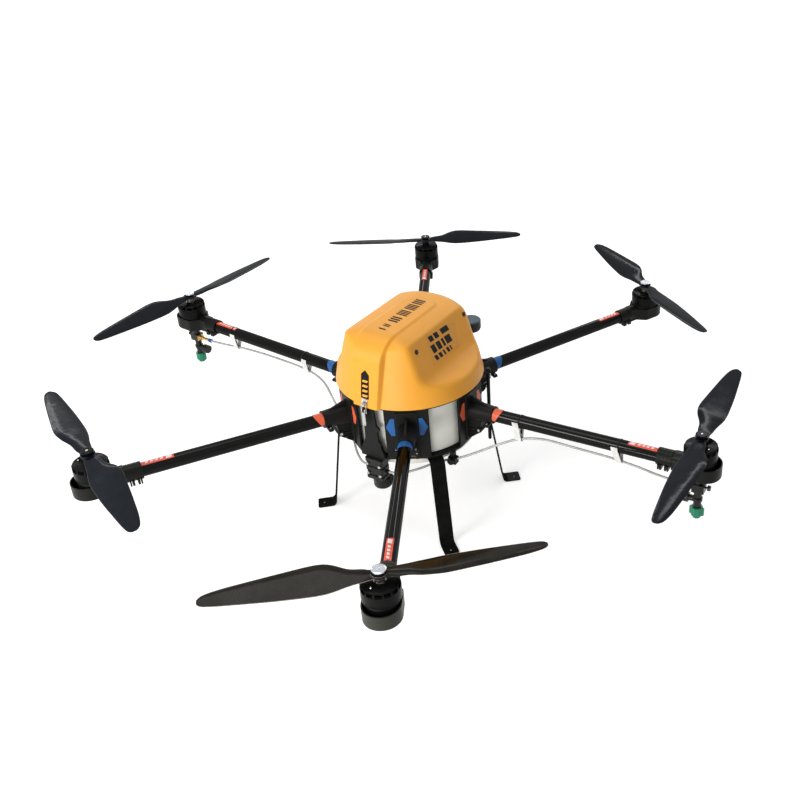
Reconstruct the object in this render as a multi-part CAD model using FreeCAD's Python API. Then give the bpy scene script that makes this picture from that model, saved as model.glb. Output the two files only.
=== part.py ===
"""Six-rotor crop-spraying drone: writes one STEP file per piece to parts/.

Frame: millimetres, +Z up, nose towards -Y, origin on the ground under the body's
axis. Arm 1 points along +X and the others follow counter-clockwise.
"""

import FreeCAD
import Part

import math
import os

V = FreeCAD.Vector
UP = V(0, 0, 1)
X_AXIS = V(1, 0, 0)
Y_AXIS = V(0, 1, 0)
ORIGIN = V(0, 0, 0)

# ---- driving dimensions -------------------------------------------------------------
clearance = 0.3             # gap between pieces that only seat on each other
running_gap = 0.05          # radial gap of pins and shafts that turn
tube_fit = 0.15             # radial gap of the arm tubes in their sockets
nearly_whole = 0.98         # share of a half width that a corner's round may take
past = 1.0                  # how far cutting shapes reach past what they cut
screw_radius = 2.6
screw_head_height = 2.9
screw_head_radius = 4.4
screw_socket_radius = 2.1
screw_socket_depth = 1.7
bend_share = 0.45           # share of a cord's shorter run that each bend takes

# airframe
ground_clearance = 294.0    # ground to the underside of the lower ring
frame_height = 184.0        # lower ring underside to upper plate top
ring_thickness = 6.0
frame_radius = 224.0        # outer radius of the lower ring and the upper plate
lower_ring_width = 26.0
plate_inset = 9.0           # frame's outer radius to the arm brackets' outer faces
plate_width = 132.0
plate_thickness = 7.0
screw_offset = 22.0         # bracket's middle to its frame screws
screw_length = 12.0
filler_room = 4.0           # round the filler's neck, in the upper plate

# arms
arm_count = 6
motor_radius = 935.5        # body axis to the crossing of arm axis and motor axis
arm_rise_deg = 3.0
arm_axis_height = 103.4     # lower ring underside to the arm axis, at the bracket face
tube_diameter = 40.0
tube_wall = 2.0
socket_length = 85.0
tube_insertion = 72.0       # length of tube held in the bracket's socket
socket_root_diameter = 65.0
socket_mouth_diameter = 52.0
column_width = 66.0         # raised middle of the bracket
column_depth = 5.0
column_foot = 3.0           # lower ring to the column's foot
column_head = 8.0           # upper plate to the column's head
plate_round = 3.0           # radius along the bracket's sides
window_side = 10.0          # frame left round the hollow behind the bracket
window_end = 12.0
fin_thickness = 6.0
fin_step = 9.0              # level top of the fin
fin_height = 50.0           # top of the fin over the arm axis, at the bracket face
gusset_width = 44.0
gusset_reach = 50.0         # bracket face to the gusset's front, under the socket
groove_count = 3
groove_start = 22.0         # lower ring to the first groove in the gusset's sides
groove_pitch = 12.0
groove_height = 4.0
groove_depth = 3.0
lug_reach = 42.0            # bracket face to the axis of the lower lug
lug_height = 54.0           # lower lug's axis over the lower ring's underside
lug_radius = 9.0
lug_proud = 4.0             # lug over the gusset's sides
lug_screw_length = 14.0
lip_length = 4.0            # lip round the socket's mouth
lip_rise = 1.0
ear_width = 14.0
ear_height = 8.0
ear_gap = 8.0               # split between the two ears
ear_drop = 20.0             # ear top under the arm axis
ear_shift = 2.0             # ear's middle outside the socket's mouth
marker_thickness = 1.2
marker_length = 28.0
marker_short = 0.1          # share of its length left at the bottom of the slanted end
marker_hang = 0.4           # share of the tube's radius that it comes down to
chevron_height = 61.0
chevron_width = 26.0
chevron_shoulder = 0.45     # share of its width where the point starts
chevron_centre = 118.0      # chevron centre over the lower ring's underside
chevron_offset = 36.0       # bracket's middle to the chevron's inner edge

# motors, in the arm's own frame: z from the arm axis, x outwards from the motor axis
bell_diameter = 92.0
bell_bottom = 25.5
bell_height = 45.5
bell_wall = 3.0
bell_slots = 14
bell_slot_height = 10.5
bell_slot_drop = 1.0        # bell's shoulder to the slots
bell_slot_share = 0.82      # share of the way round that is open
bell_shoulder = 3.0         # bell's top to its shoulder
boss_taper = 0.72           # share of the boss's radius left at its top
bell_boss_diameter = 38.0
shaft_diameter = 12.0
stator_diameter = 84.0
stator_gap = 1.05           # radial gap between the motor's base and its pot
winding_gap = 2.0           # radial gap between the windings and the bell
winding_drop = 16.0         # bell's top to the windings
winding_depth = 8.0         # radial depth of the windings
stator_floor = 8.0          # thickness of the motor's base
bearing_radius = 14.0
bearing_drop = 10.0         # bell's top to the upper bearing
bell_gap = 5.0              # fixed parts to the bell's lower edge
pot_floor = -24.0
pot_rim = 18.0
pot_front_rim = 15.0
pot_wall = 3.0
pot_shift = 14.0            # how far the pot reaches past a circle about the motor
pot_straight = 26.0         # motor axis back to where the pot starts to taper
pot_taper = 26.0            # length of the taper
pot_shoulder = 16.0         # corner radius where the taper starts
pot_edge = 2.4              # fillet round the pot's floor
pot_slope_start = 10.0      # behind the motor axis, where the rim starts to slope down
lump_length = 12.0          # screw lumps under the clamping sleeve
lump_drop = 28.0            # arm axis to the lumps' undersides
lump_root = 12.0            # arm axis to their upper ends, in the sleeve
sleeve_grooves = 3
sleeve_groove_width = 2.0
sleeve_groove_depth = 1.0
neck_diameter = 45.0
sleeve_diameter = 50.0
sleeve_length = 44.0
sleeve_distance = 74.0      # motor axis to the sleeve's near end
sleeve_split = 8.0          # arm axis to the lumps' inner faces
tube_gap = 22.0             # sleeve's near end to the tube's end, inside the neck
adapter_diameter = 34.0
adapter_height = 10.0       # cap over the propeller
adapter_edge = 3.0
flange_thickness = 14.0

# propellers
propeller_diameter = 762.0
hub_bottom = 86.0           # over the arm axis
hub_thickness = 8.0
hub_width = 38.0
blade_max_chord = 82.0
root_pitch_deg = 17.0
tip_pitch_deg = 7.0
blade_base = 1.8            # blade thickness: a fixed part
blade_fullness = 0.032      # and a share of the chord
root_thickness = 3.0        # further thickness at the root
twist_start = 0.05          # shares of the radius between which the blade takes its pitch
twist_end = 0.28
blade_coning = 6.0          # how far the tips stand over the hub

# tank
tank_inset = 19.0           # tank's side inside the frame's outer radius
tank_wall = 3.0
sump_depth = 34.0           # sump bottom below the lower ring
sump_fillet = 6.0
sump_gap = 1.0              # sump to the lower ring's bore
tank_foot_round = 4.0
tank_top_round = 8.0
filler_distance = 128.0     # body axis to the filler's axis, towards the rear
filler_diameter = 84.0
filler_height = 14.0        # filler neck over the upper plate
cap_diameter = 98.0
cap_height = 20.0
cap_grip = 4.0              # grip over the lid
cap_grip_width = 10.0
cap_grip_length = 70.0
cap_notches = 12
cap_notch_radius = 4.0
cap_notch_out = 1.6         # notch's centre outside the cap's edge
neck_wall = 5.0

# cover
cover_height = 202.0
cover_overhang = 5.0        # cover's rim outside the frame
cover_draft = 0.2126        # wall lean, mm per mm of height
cover_wall = 3.0
cover_ledge = 7.0           # width of the ledge that the cover stands on
band_rim_width = 100.0
band_flare = 0.05           # band edge lean, mm per mm of height
band_rear = 104.0           # body axis to the band's rear end
band_round = 9.0            # radius along the band's edges
band_corner = 25.0          # radius of the band's rear corners, seen from above
band_rise = 4.0             # central band over the shoulders
nose_proud = 7.0            # band's front outside the cover's rim
nose_draft = 0.18
front_round = 85.0
rear_round = 60.0
shoulder_start = 77.0
shoulder_edge = 111.0
shoulder_drop = 12.0
panel_round = 12.0          # radius where the shoulder meets the panel, and the panel the shelf
panel_foot = 150.0
panel_drop = 131.0          # body top to the panel's foot
shelf_fall = 0.27
plug_diameter = 15.0
plug_rise = 2.5             # plug over the panel
plug_slot = 2.4             # width of the slot in the plug's face
plug_drop = 38.0            # body top to the plugs' centres
plug_spread = 262.0         # front plug to rear plug
plug_centre = 5.0

# legs
leg_angle_deg = 40.0        # from the X axis
leg_width = 46.0
leg_thickness = 4.0
leg_tab_reach = 22.0        # tab's inner end inside the frame's outer radius
leg_top_reach = 18.0        # frame's outer radius to the leg's upper bend
leg_spread = 45.0           # leg's upper bend to its lower bend
leg_foot = 58.0             # leg's lower bend to the foot's end
leg_bend = 16.0             # bend radius, on the strip's mid line
leg_round = 6.0             # corners at the foot's end
leg_bolt_offset = 11.0      # leg's middle to its bolts
foot_hole_diameter = 6.5
foot_hole_inset = 20.0

# spray system
hose_diameter = 8.0
nozzle_diameter = 22.0
nozzle_length = 115.0
nozzle_flange = 5.0         # flange's edge outside the nozzle's stem
nut_height = 10.0
nut_rise = 22.0             # nozzle's lower end to the nut
saddle_height = 26.0
thumb_length = 16.0         # thumb screw through the saddle
thumb_knob = 8.0
valve_diameter = 30.0       # check valve
valve_length = 20.0
valve_neck = 18.0           # diameter between the valve and the stem
valve_reach = 34.0          # stem to the valve's far end
barb_hexagon = 16.0
collar_length = 10.0        # push-in collar on the hose's end
collar_wall = 3.0
nozzle_cap_diameter = 31.0
nozzle_cap_height = 36.0
nozzle_cap_foot = 9.0       # height of the cap's narrow foot
nozzle_foot_diameter = 22.0
nozzle_cap_ribs = 10
nozzle_wing = 5.0           # wings outside the cap
nozzle_spout = 5.0
spout_drop = 3.0
inlet_drop = 48.0           # pot floor to the hose inlet's axis
valve_drop = 91.0           # pot floor to the check valve's axis
inlet_reach = 68.0          # nozzle axis to the end of the hose collar
pump_width = 62.0
pump_depth = 39.0
pump_proud = 16.0           # pump's front outside the frame
pump_centre_x = 8.0
pump_head_height = 79.0
pump_plates = 5
pump_plate_gap = 3.0
pump_plate_step = 2.5       # every other plate is smaller by this much
pump_corner = 5.0
pump_screw_length = 3.0
pump_screw_across = 22.0    # head's middle to its screws
pump_screw_drops = (22.0, 57.0)     # head's top to its screws
pump_fin_pitch_deg = 20.0
outlet_wall = 2.0
pump_motor_diameter = 58.0
pump_motor_round = 8.0
pump_fins = 7
pump_fin_width = 2.4
pump_fin_reach = 4.0
pump_fin_foot = 12.0        # motor's lower end to the fins
pump_motor_height = 34.0
pump_motor_shift = 7.0
nose_plate_thickness = 6.0
nose_plate_foot = (-39.0, 45.0)     # left and right edges at the foot
nose_plate_top = (-15.0, 23.0)      # and at the top
nose_toe = 14.0             # lower ring top to the end of the wide foot
nose_flare = (3.0, 7.0)     # how far the narrow part widens down to its waist, left and right
nose_plate_rounds = (4.0, 20.0, 6.0, 3.0)   # corner radii, from the top to the foot
nose_waist = 60.0           # lower ring top to the narrow part
nose_lug_radius = 9.0
nose_lug_x = 28.0
nose_lug_heights = (49.0, 104.0)    # over the lower ring's top
clamp_size = 26.0
clamp_flatness = 0.8        # share of its size, along Y and upwards
clamp_stem = 14.0
clamp_knob_radius = 11.0
clamp_knob_length = 9.0
tie_distances = {"right": (390, 705), "left": (430, 745)}
tie_width = 5.0
tie_thickness = 1.2
tie_slack = 0.9             # radial play of the hose in its tie

# latch, on the nose
latch_gap = 5.0             # nose at the rim to the lever's pivot
latch_drop = 6.0            # upper plate top down to the lever's pivot
bail_offset = 10.0          # lever pivot to bail pivot
bail_length = 32.0
bail_wire = 2.5
lever_length = 50.0
lever_width = 12.0
lever_sheet = 1.8           # thickness of the lever's web
lever_cheek = 2.0           # and of its cheeks
lever_web_drop = 6.0        # lever's pivot to the web, and the web's end to the cheeks
lever_ear = 3.6             # how far the cheeks reach round the pivot
lever_ear_drop = 14.0       # lever's pivot to where the cheeks narrow
lever_toe = 1.0             # depth of the cheeks at the lever's end
lever_corner = 3.0          # radius of the cheeks' corners
lever_curl = 2.4            # radius of the curl at the lever's end
latch_pin = 3.0
latch_nose = 4.0            # radius of the base's eye
latch_foot = 14.0           # lever's pivot down to the base's foot
latch_seat = 4.0            # frame's edge to the base's back
pin_inset = 0.5             # cheek's face to the pin's end
stub_gap = 0.2              # cheek to the end of the bail's stub
catch_room = 2.6            # bail to the catch's lip
catch_height = 6.0          # bail's axis to the catch's underside
catch_side = 0.8            # lever's edge to the catch's edge
catch_thickness = 1.8
catch_gap = 0.2             # bail to the catch
catch_lip = 1.0             # lip over the bail's axis
catch_root = 4.0            # how far the catch reaches behind the nose's skin
catch_plate_side = 2.0      # plate outside the catch
catch_plate_thickness = 2.6
catch_plate_foot = 2.0      # plate below the catch
catch_plate_rise = 14.0     # bail's axis to the plate's top

# cover hinge
hinge_reach = 12.0          # frame radius to the hinge axis
hinge_rise = 6.0            # hinge axis over the upper plate
hinge_radius = 6.4
hinge_pin = 5.0
knuckle_width = 30.0
hinge_ear = 6.0
hinge_stem = 8.0            # depth of the ears' stems
hinge_base_gap = 3.0        # tank's side to the hinge's base

# electronics
battery_size = (190.0, 118.0, 86.0)
battery_centre_y = -24.0
controller_size = (92.0, 62.0, 26.0)
controller_centre_y = -140.0
puck_diameter = 66.0
puck_height = 36.0
puck_angle_deg = 70.8
puck_reach = 26.0           # frame's outer radius to the puck's centre
puck_base = 52.0            # puck's underside over the upper plate
antenna_diameter = 12.0
antenna_length = 276.0
antenna_drop = 48.0         # upper plate top down to the antenna's top
antenna_angle_deg = 47.0
antenna_reach = 28.0        # frame's outer radius to the antenna's axis
lead_diameter = 3.0
battery_round = 6.0
puck_arm_width = 18.0
puck_arm_height = 8.0
puck_arm_reach = 70.0       # puck's centre back to the arm's root, inside the cover's wall
puck_foot_height = 8.0      # bevelled lower edge
puck_edge = 3.0
clip_width = 14.0
clip_height = 10.0
clip_reach = 4.0
collar_rise = 4.0           # collar over the antenna's root

# ---- derived sizes ------------------------------------------------------------------
lower_ring_bore = frame_radius - lower_ring_width
plate_distance = frame_radius - plate_inset
tank_radius = frame_radius - tank_inset
cover_rim_radius = frame_radius + cover_overhang
nose_reach = cover_rim_radius + nose_proud
leg_tab_start = frame_radius - leg_tab_reach
leg_top = frame_radius + leg_top_reach
leg_bottom = leg_top + leg_spread
leg_end = leg_bottom + leg_foot
puck_distance = frame_radius + puck_reach
antenna_distance = frame_radius + antenna_reach
lower_ring_top = ground_clearance + ring_thickness
upper_plate_top = ground_clearance + frame_height
upper_plate_bottom = upper_plate_top - ring_thickness
cover_rim = upper_plate_top + clearance
cover_top = cover_rim + cover_height
rise = math.radians(arm_rise_deg)
arm_axis_at_plate = ground_clearance + arm_axis_height
arm_axis_at_motor = arm_axis_at_plate + (motor_radius - plate_distance) * math.tan(rise)
arm_root = -(motor_radius - plate_distance) / math.cos(rise)
socket_mouth = arm_root + socket_length
tube_radius = tube_diameter / 2
tube_start = socket_mouth - tube_insertion
tube_end = -sleeve_distance + tube_gap
bell_radius = bell_diameter / 2
bell_top = bell_bottom + bell_height
bell_dome = bell_top - bell_shoulder
stator_radius = stator_diameter / 2
shaft_radius = shaft_diameter / 2
pot_pocket = stator_radius + stator_gap
pot_radius = pot_pocket + pot_wall
hose_radius = hose_diameter / 2
nozzle_top = pot_floor - clearance
inlet_z = pot_floor - inlet_drop
arm_angles = [360 / arm_count * number for number in range(arm_count)]
leg_angles = [leg_angle_deg, 180 - leg_angle_deg, 180 + leg_angle_deg, 360 - leg_angle_deg]
pivot_y = -(nose_reach + latch_gap)
pivot_z = upper_plate_top - latch_drop
bail_z = pivot_z - bail_offset
hook_z = bail_z + bail_length
hinge_y = frame_radius + hinge_reach
hinge_z = upper_plate_top + hinge_rise
pump_top = ground_clearance - clearance
pump_front = -(frame_radius + pump_proud)
pump_back = pump_front + pump_depth

# the arms that carry a nozzle, and the side each one is on
spray_arms = {0: "right", 3: "left"}

# how each propeller is turned at rest, from its own arm's direction
propeller_turn = [92.9, -100.3, -85.9, -95.2, 97.5, -79.3]

parts = {}


# ---- shape helpers ------------------------------------------------------------------
def box(x, y, z):
    """A box from three (low, high) pairs."""
    return Part.makeBox(x[1] - x[0], y[1] - y[0], z[1] - z[0], V(x[0], y[0], z[0]))


def rod(radius, base, direction, length):
    return Part.makeCylinder(radius, length, base, direction)


def disc(radius, low, high, x=0.0, y=0.0):
    return rod(radius, V(x, y, low), UP, high - low)


def ring(outer, inner, low, high):
    return disc(outer, low, high).cut(disc(inner, low - 1, high + 1))


def outline(points):
    """Closed wire through (x, y) points in the XY plane; a third value rounds a corner."""
    corners = []
    for index, point in enumerate(points):
        corner = V(point[0], point[1], 0)
        radius = point[2] if len(point) > 2 else 0
        if radius == 0:
            corners.append((corner, corner, corner))
            continue
        back = V(*points[index - 1][:2], 0) - corner
        ahead = V(*points[(index + 1) % len(points)][:2], 0) - corner
        half = back.getAngle(ahead) / 2
        back.normalize()
        ahead.normalize()
        bisector = back + ahead
        bisector.normalize()
        cut = radius / math.tan(half)
        middle = corner + bisector * (radius / math.sin(half) - radius)
        corners.append((corner + back * cut, middle, corner + ahead * cut))
    edges = []
    for index, (first, middle, last) in enumerate(corners):
        if first.distanceToPoint(last) > 1e-6:
            edges.append(Part.Arc(first, middle, last).toShape())
        following = corners[(index + 1) % len(corners)][0]
        if last.distanceToPoint(following) > 1e-6:
            edges.append(Part.makeLine(last, following))
    return Part.Wire(edges)


def upright(points, low, high):
    """A prism along Z of an outline drawn in the XY plane."""
    face = Part.Face(outline(points))
    return face.extrude(V(0, 0, high - low)).translated(V(0, 0, low))


def side_prism(points, low, high):
    """A prism along Y, from low to high, of an outline drawn as (x, z)."""
    shape = Part.Face(outline(points)).extrude(V(0, 0, high - low))
    shape.rotate(ORIGIN, X_AXIS, 90)
    shape.translate(V(0, high, 0))
    return shape


def cross_prism(points, low, high):
    """A prism along X, from low to high, of an outline drawn as (y, z)."""
    shape = Part.Face(outline(points)).extrude(V(0, 0, high - low))
    shape.rotate(ORIGIN, X_AXIS, 90)
    shape.rotate(ORIGIN, UP, 90)
    shape.translate(V(low, 0, 0))
    return shape


def lathe(points):
    """Turns a closed outline, drawn as (radius, z), about the Z axis."""
    face = Part.Face(outline(points))
    face.rotate(ORIGIN, X_AXIS, 90)
    return face.revolve(ORIGIN, UP, 360)


def fuse(shapes):
    return shapes[0].multiFuse(shapes[1:]).removeSplitter()


def turned(shape, angle):
    """A copy turned about the body's axis."""
    return shape.rotated(ORIGIN, UP, angle)


def mirrored_x(shape):
    return shape.mirror(ORIGIN, X_AXIS)


def on_arm(shape, angle):
    """Moves a shape from the arm's own frame (origin on the motor axis) to its arm."""
    placed = shape.rotated(ORIGIN, Y_AXIS, -arm_rise_deg)
    placed.translate(V(motor_radius, 0, arm_axis_at_motor))
    return turned(placed, angle)


def screw(base, direction, length):
    """A socket-head screw whose head sits on base and stands up along direction."""
    body = rod(screw_head_radius, base, direction, screw_head_height)
    floor = base + direction * (screw_head_height - screw_socket_depth)
    body = body.cut(rod(screw_socket_radius, floor, direction, screw_head_height))
    shank = rod(screw_radius - 2 * running_gap, base - direction * length, direction, length)
    return body.fuse(shank)


def add(name, shapes):
    """Keeps a piece; a list makes one group of separate solids."""
    if not isinstance(shapes, list):
        shapes = [shapes]
    solids = [solid for shape in shapes for solid in shape.Solids]
    parts[name] = solids[0] if len(solids) == 1 else Part.makeCompound(solids)


def cord_path(points):
    """Straight runs through the points joined by tangent arcs, and the arcs' radii."""
    edges = []
    radii = []
    start = points[0]
    for before, corner, after in zip(points, points[1:], points[2:]):
        back = before - corner
        ahead = after - corner
        half = back.getAngle(ahead) / 2
        cut = bend_share * min(back.Length, ahead.Length)
        bend = cut * math.tan(half)
        radii.append(round(bend))
        back.normalize()
        ahead.normalize()
        bisector = back + ahead
        bisector.normalize()
        middle = corner + bisector * (bend / math.sin(half) - bend)
        first = corner + back * cut
        last = corner + ahead * cut
        edges.append(Part.makeLine(start, first))
        edges.append(Part.Arc(first, middle, last).toShape())
        start = last
    edges.append(Part.makeLine(start, points[-1]))
    return Part.Wire(edges), radii


def tube_along(points, radius):
    """A round cord of a given radius along the points."""
    section = Part.Wire(Part.makeCircle(radius, points[0], points[1] - points[0]))
    return cord_path(points)[0].makePipeShell([section], True, True)


def add_cord(name, points, diameter):
    """Keeps a cord as a piece and prints its length, its bends and how round it came out."""
    cord = tube_along(points, diameter / 2)
    path, radii = cord_path(points)
    full = math.pi * (diameter / 2) ** 2 * path.Length
    print("%s: length %.0f, bend radii %s, volume ratio %.4f"
          % (name, path.Length, radii, cord.Volume / full))
    add(name, cord)


# ---- airframe -----------------------------------------------------------------------
def hexagon_flats(low, high):
    """The body's hexagonal limit, flush with the outer faces of the arm brackets."""
    corner = plate_distance / math.cos(math.pi / arm_count)
    step = 2 * math.pi / arm_count
    points = []
    for number in range(arm_count):
        angle = step * (number + 0.5)
        points.append((corner * math.cos(angle), corner * math.sin(angle)))
    return upright(points, low, high)


def lower_frame_ring():
    """Flat ring that the tank stands on, with the brackets, legs and pump bolted to it."""
    low = ground_clearance - past
    high = lower_ring_top + past
    body = ring(frame_radius, lower_ring_bore, ground_clearance, lower_ring_top)
    return body.common(hexagon_flats(low, high)).cut(frame_holes(low, high))


def upper_frame_plate():
    """Top plate: closes the frame, carries the electronics and lets the filler through."""
    low = upper_plate_bottom - past
    high = upper_plate_top + past
    body = disc(frame_radius, upper_plate_bottom, upper_plate_top)
    body = body.common(hexagon_flats(low, high))
    body = body.cut(disc(filler_diameter / 2 + filler_room, low, high, 0, filler_distance))
    return body.cut(frame_holes(low, high))


def frame_screw_places():
    """Screw centres that join the brackets to the ring and the plate."""
    inset = plate_distance - plate_thickness / 2
    places = []
    for angle in arm_angles:
        for side in (-1, 1):
            point = V(inset, side * screw_offset, 0)
            places.append(FreeCAD.Rotation(UP, angle).multVec(point))
    return places


def frame_holes(low, high):
    holes = [disc(screw_radius, low, high, p.x, p.y) for p in frame_screw_places()]
    return Part.makeCompound(holes)


def ear_centre(side):
    """Top of a clamping ear under the socket's mouth, in the arm's own frame."""
    sideways = socket_mouth_diameter / 2 + ear_shift
    return V(socket_mouth - ear_width, side * sideways, -ear_drop)


def bracket_socket():
    """The socket, its lip and its clamping ears, in the arm's own frame."""
    mouth_radius = socket_mouth_diameter / 2
    cone = Part.makeCone(socket_root_diameter / 2, mouth_radius, socket_length,
                         V(arm_root, 0, 0), X_AXIS)
    lip = rod(mouth_radius + lip_rise, V(socket_mouth - lip_length, 0, 0), X_AXIS, lip_length)
    ears = []
    for side in (-1, 1):
        centre = ear_centre(side)
        half = ear_width / 2
        ears.append(box((centre.x - half, centre.x + half),
                        sorted((side * ear_gap / 2, centre.y + side * half)),
                        (centre.z - ear_height, centre.z)))
    return fuse([cone, lip] + ears)


def bracket_plate(low, high):
    """The bracket's flat plate, hollowed behind, with the raised column on its face."""
    half = plate_width / 2
    face = plate_distance
    plate = box((face - plate_thickness, face), (-half, half), (low, high))
    rounds = [edge for edge in plate.Edges if abs(edge.tangentAt(0).z) > 0.9
              and edge.CenterOfMass.x > face - past]
    window = box((face - plate_thickness - past, face - plate_thickness / 2),
                 (-half + window_side, half - window_side), (low + window_end, high - window_end))
    plate = plate.makeFillet(plate_round, rounds).cut(window)
    front = face + column_depth
    column = box((face - plate_thickness / 4, front), (-column_width / 2, column_width / 2),
                 (low + column_foot, high - column_head))
    rounds = [edge for edge in column.Edges if edge.CenterOfMass.x > front - past]
    return fuse([plate, column.makeFillet(column_depth / 2, rounds)])


def bracket_fin():
    """The upright fin over the socket."""
    axis = arm_axis_at_plate
    face = plate_distance
    top = axis + fin_height
    tail = face + socket_length - ear_height
    tail_top = axis + socket_mouth_diameter / 2 + lip_rise
    points = [(face, axis), (face, top), (face + fin_step, top), (tail, tail_top), (tail, axis)]
    return side_prism(points, -fin_thickness / 2, fin_thickness / 2)


def bracket_gusset(low):
    """The grooved gusset under the socket, with the lug across its foot."""
    axis = arm_axis_at_plate
    face = plate_distance
    half = gusset_width / 2
    lug_x = face + lug_reach
    lug_z = ground_clearance + lug_height
    toe = lug_radius / 2
    points = [(face - past, low + toe), (face + toe, low + toe), (lug_x + toe, lug_z - lug_radius),
              (lug_x + toe, lug_z + toe), (face + gusset_reach, axis - tube_radius),
              (face - past, axis)]
    body = side_prism(points, -half, half)
    grooves = []
    for number in range(groove_count):
        z = low + groove_start + groove_pitch * number
        for side in (-1, 1):
            across = sorted((side * (half + past), side * (half - groove_depth)))
            grooves.append(box((face + column_depth + past, lug_x + lug_reach), across,
                               (z, z + groove_height)))
    body = body.cut(Part.makeCompound(grooves))
    reach = half + lug_proud
    return body.fuse(rod(lug_radius, V(lug_x, -reach, lug_z), Y_AXIS, 2 * reach))


def arm_bracket():
    """Wall bracket with the arm's socket, drawn for the arm along +X."""
    low = lower_ring_top
    high = upper_plate_bottom
    body = fuse([bracket_plate(low, high), bracket_fin(), bracket_gusset(low),
                 on_arm(bracket_socket(), 0)])
    bore = rod(tube_radius + tube_fit, V(tube_start - clearance, 0, 0), X_AXIS, socket_length)
    body = body.cut(on_arm(bore, 0))
    lug = V(plate_distance + lug_reach, 0, ground_clearance + lug_height)
    holes = [rod(screw_radius, lug - Y_AXIS * gusset_width, Y_AXIS, 2 * gusset_width)]
    inset = plate_distance - plate_thickness / 2
    for side in (-1, 1):
        hole = rod(screw_radius, ear_centre(side) - UP * ear_drop, UP, 2 * ear_drop)
        holes.append(on_arm(hole, 0))
        y = side * screw_offset
        holes.append(disc(screw_radius, low - past, low + screw_length, inset, y))
        holes.append(disc(screw_radius, high - screw_length, high + past, inset, y))
    return body.cut(Part.makeCompound(holes))


def arm_tube():
    """Carbon tube, in the arm's own frame."""
    length = tube_end - tube_start
    start = V(tube_start, 0, 0)
    outer = rod(tube_radius, start, X_AXIS, length)
    bore = rod(tube_radius - tube_wall, start - X_AXIS * past, X_AXIS, length + 2 * past)
    return outer.cut(bore)


def marker_collar():
    """Coloured half collar beside the socket, with a slanted outer end."""
    inner = tube_radius + tube_fit
    start = V(socket_mouth + clearance, 0, 0)
    end = start.x + marker_length
    body = rod(inner + marker_thickness, start, X_AXIS, marker_length)
    body = body.cut(rod(inner, start - X_AXIS * past, X_AXIS, marker_length + 2 * past))
    reach = tube_diameter
    short = start.x + marker_length * marker_short
    slant = side_prism([(end, reach), (end, tube_radius), (short, -tube_radius),
                        (end + reach, -tube_radius), (end + reach, reach)], -reach, reach)
    below = box((start.x - past, end + past), (-reach, reach), (-reach, -tube_radius * marker_hang))
    return body.cut(slant).cut(below)


def chevron(side):
    """Coloured pentagon on the bracket's face; side +1 or -1."""
    inner = chevron_offset
    shoulder = inner + chevron_width * chevron_shoulder
    tip = inner + chevron_width
    half = chevron_height / 2
    centre = ground_clearance + chevron_centre
    points = [(inner, centre - half), (shoulder, centre - half), (tip, centre),
              (shoulder, centre + half), (inner, centre + half)]
    points = [(side * y, z) for y, z in points]
    return cross_prism(points, plate_distance, plate_distance + marker_thickness)


def build_frame():
    add("lower_frame_ring", lower_frame_ring())
    add("upper_frame_plate", upper_frame_plate())
    bracket = arm_bracket()
    tube = arm_tube()
    markers = []
    screws = []
    for number, angle in enumerate(arm_angles):
        add("arm_bracket_%d" % (number + 1), turned(bracket, angle))
        add("arm_tube_%d" % (number + 1), on_arm(tube, angle))
        markers.append(on_arm(marker_collar(), angle))
        for side in (-1, 1):
            markers.append(turned(chevron(side), angle))
            screws.append(on_arm(screw(ear_centre(side), UP, ear_height), angle))
            lug = V(plate_distance + lug_reach, side * (gusset_width / 2 + lug_proud),
                    ground_clearance + lug_height)
            screws.append(turned(screw(lug, Y_AXIS * side, lug_screw_length), angle))
    for place in frame_screw_places():
        screws.append(screw(place + UP * upper_plate_top, UP, screw_length))
        screws.append(screw(place + UP * ground_clearance, -UP, screw_length))
    add("arm_markers", markers)
    add("frame_screws", screws)


# ---- motors and propellers ----------------------------------------------------------
def pot_plan(radius, neck):
    """The motor pot's outline: round in front, then straight, then tapering to the neck."""
    front = pot_shift + radius
    round_front = radius * nearly_whole
    taper = -pot_straight - pot_taper
    return [(front, -radius, round_front), (front, radius, round_front),
            (-pot_straight, radius, pot_shoulder), (taper, neck, pot_wall),
            (-sleeve_distance, neck), (-sleeve_distance, -neck),
            (taper, -neck, pot_wall), (-pot_straight, -radius, pot_shoulder)]


def sleeve_lumps(start):
    """The screw lumps under the sleeve that clamps the mount on the arm tube."""
    lumps = []
    for x in (start + lump_length / 2, -sleeve_distance - lump_length * 1.5):
        for side in (-1, 1):
            across = sorted((side * sleeve_split, side * (sleeve_diameter / 2 + past)))
            lumps.append(box((x, x + lump_length), across, (-lump_drop, -lump_root)))
    return lumps


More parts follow.
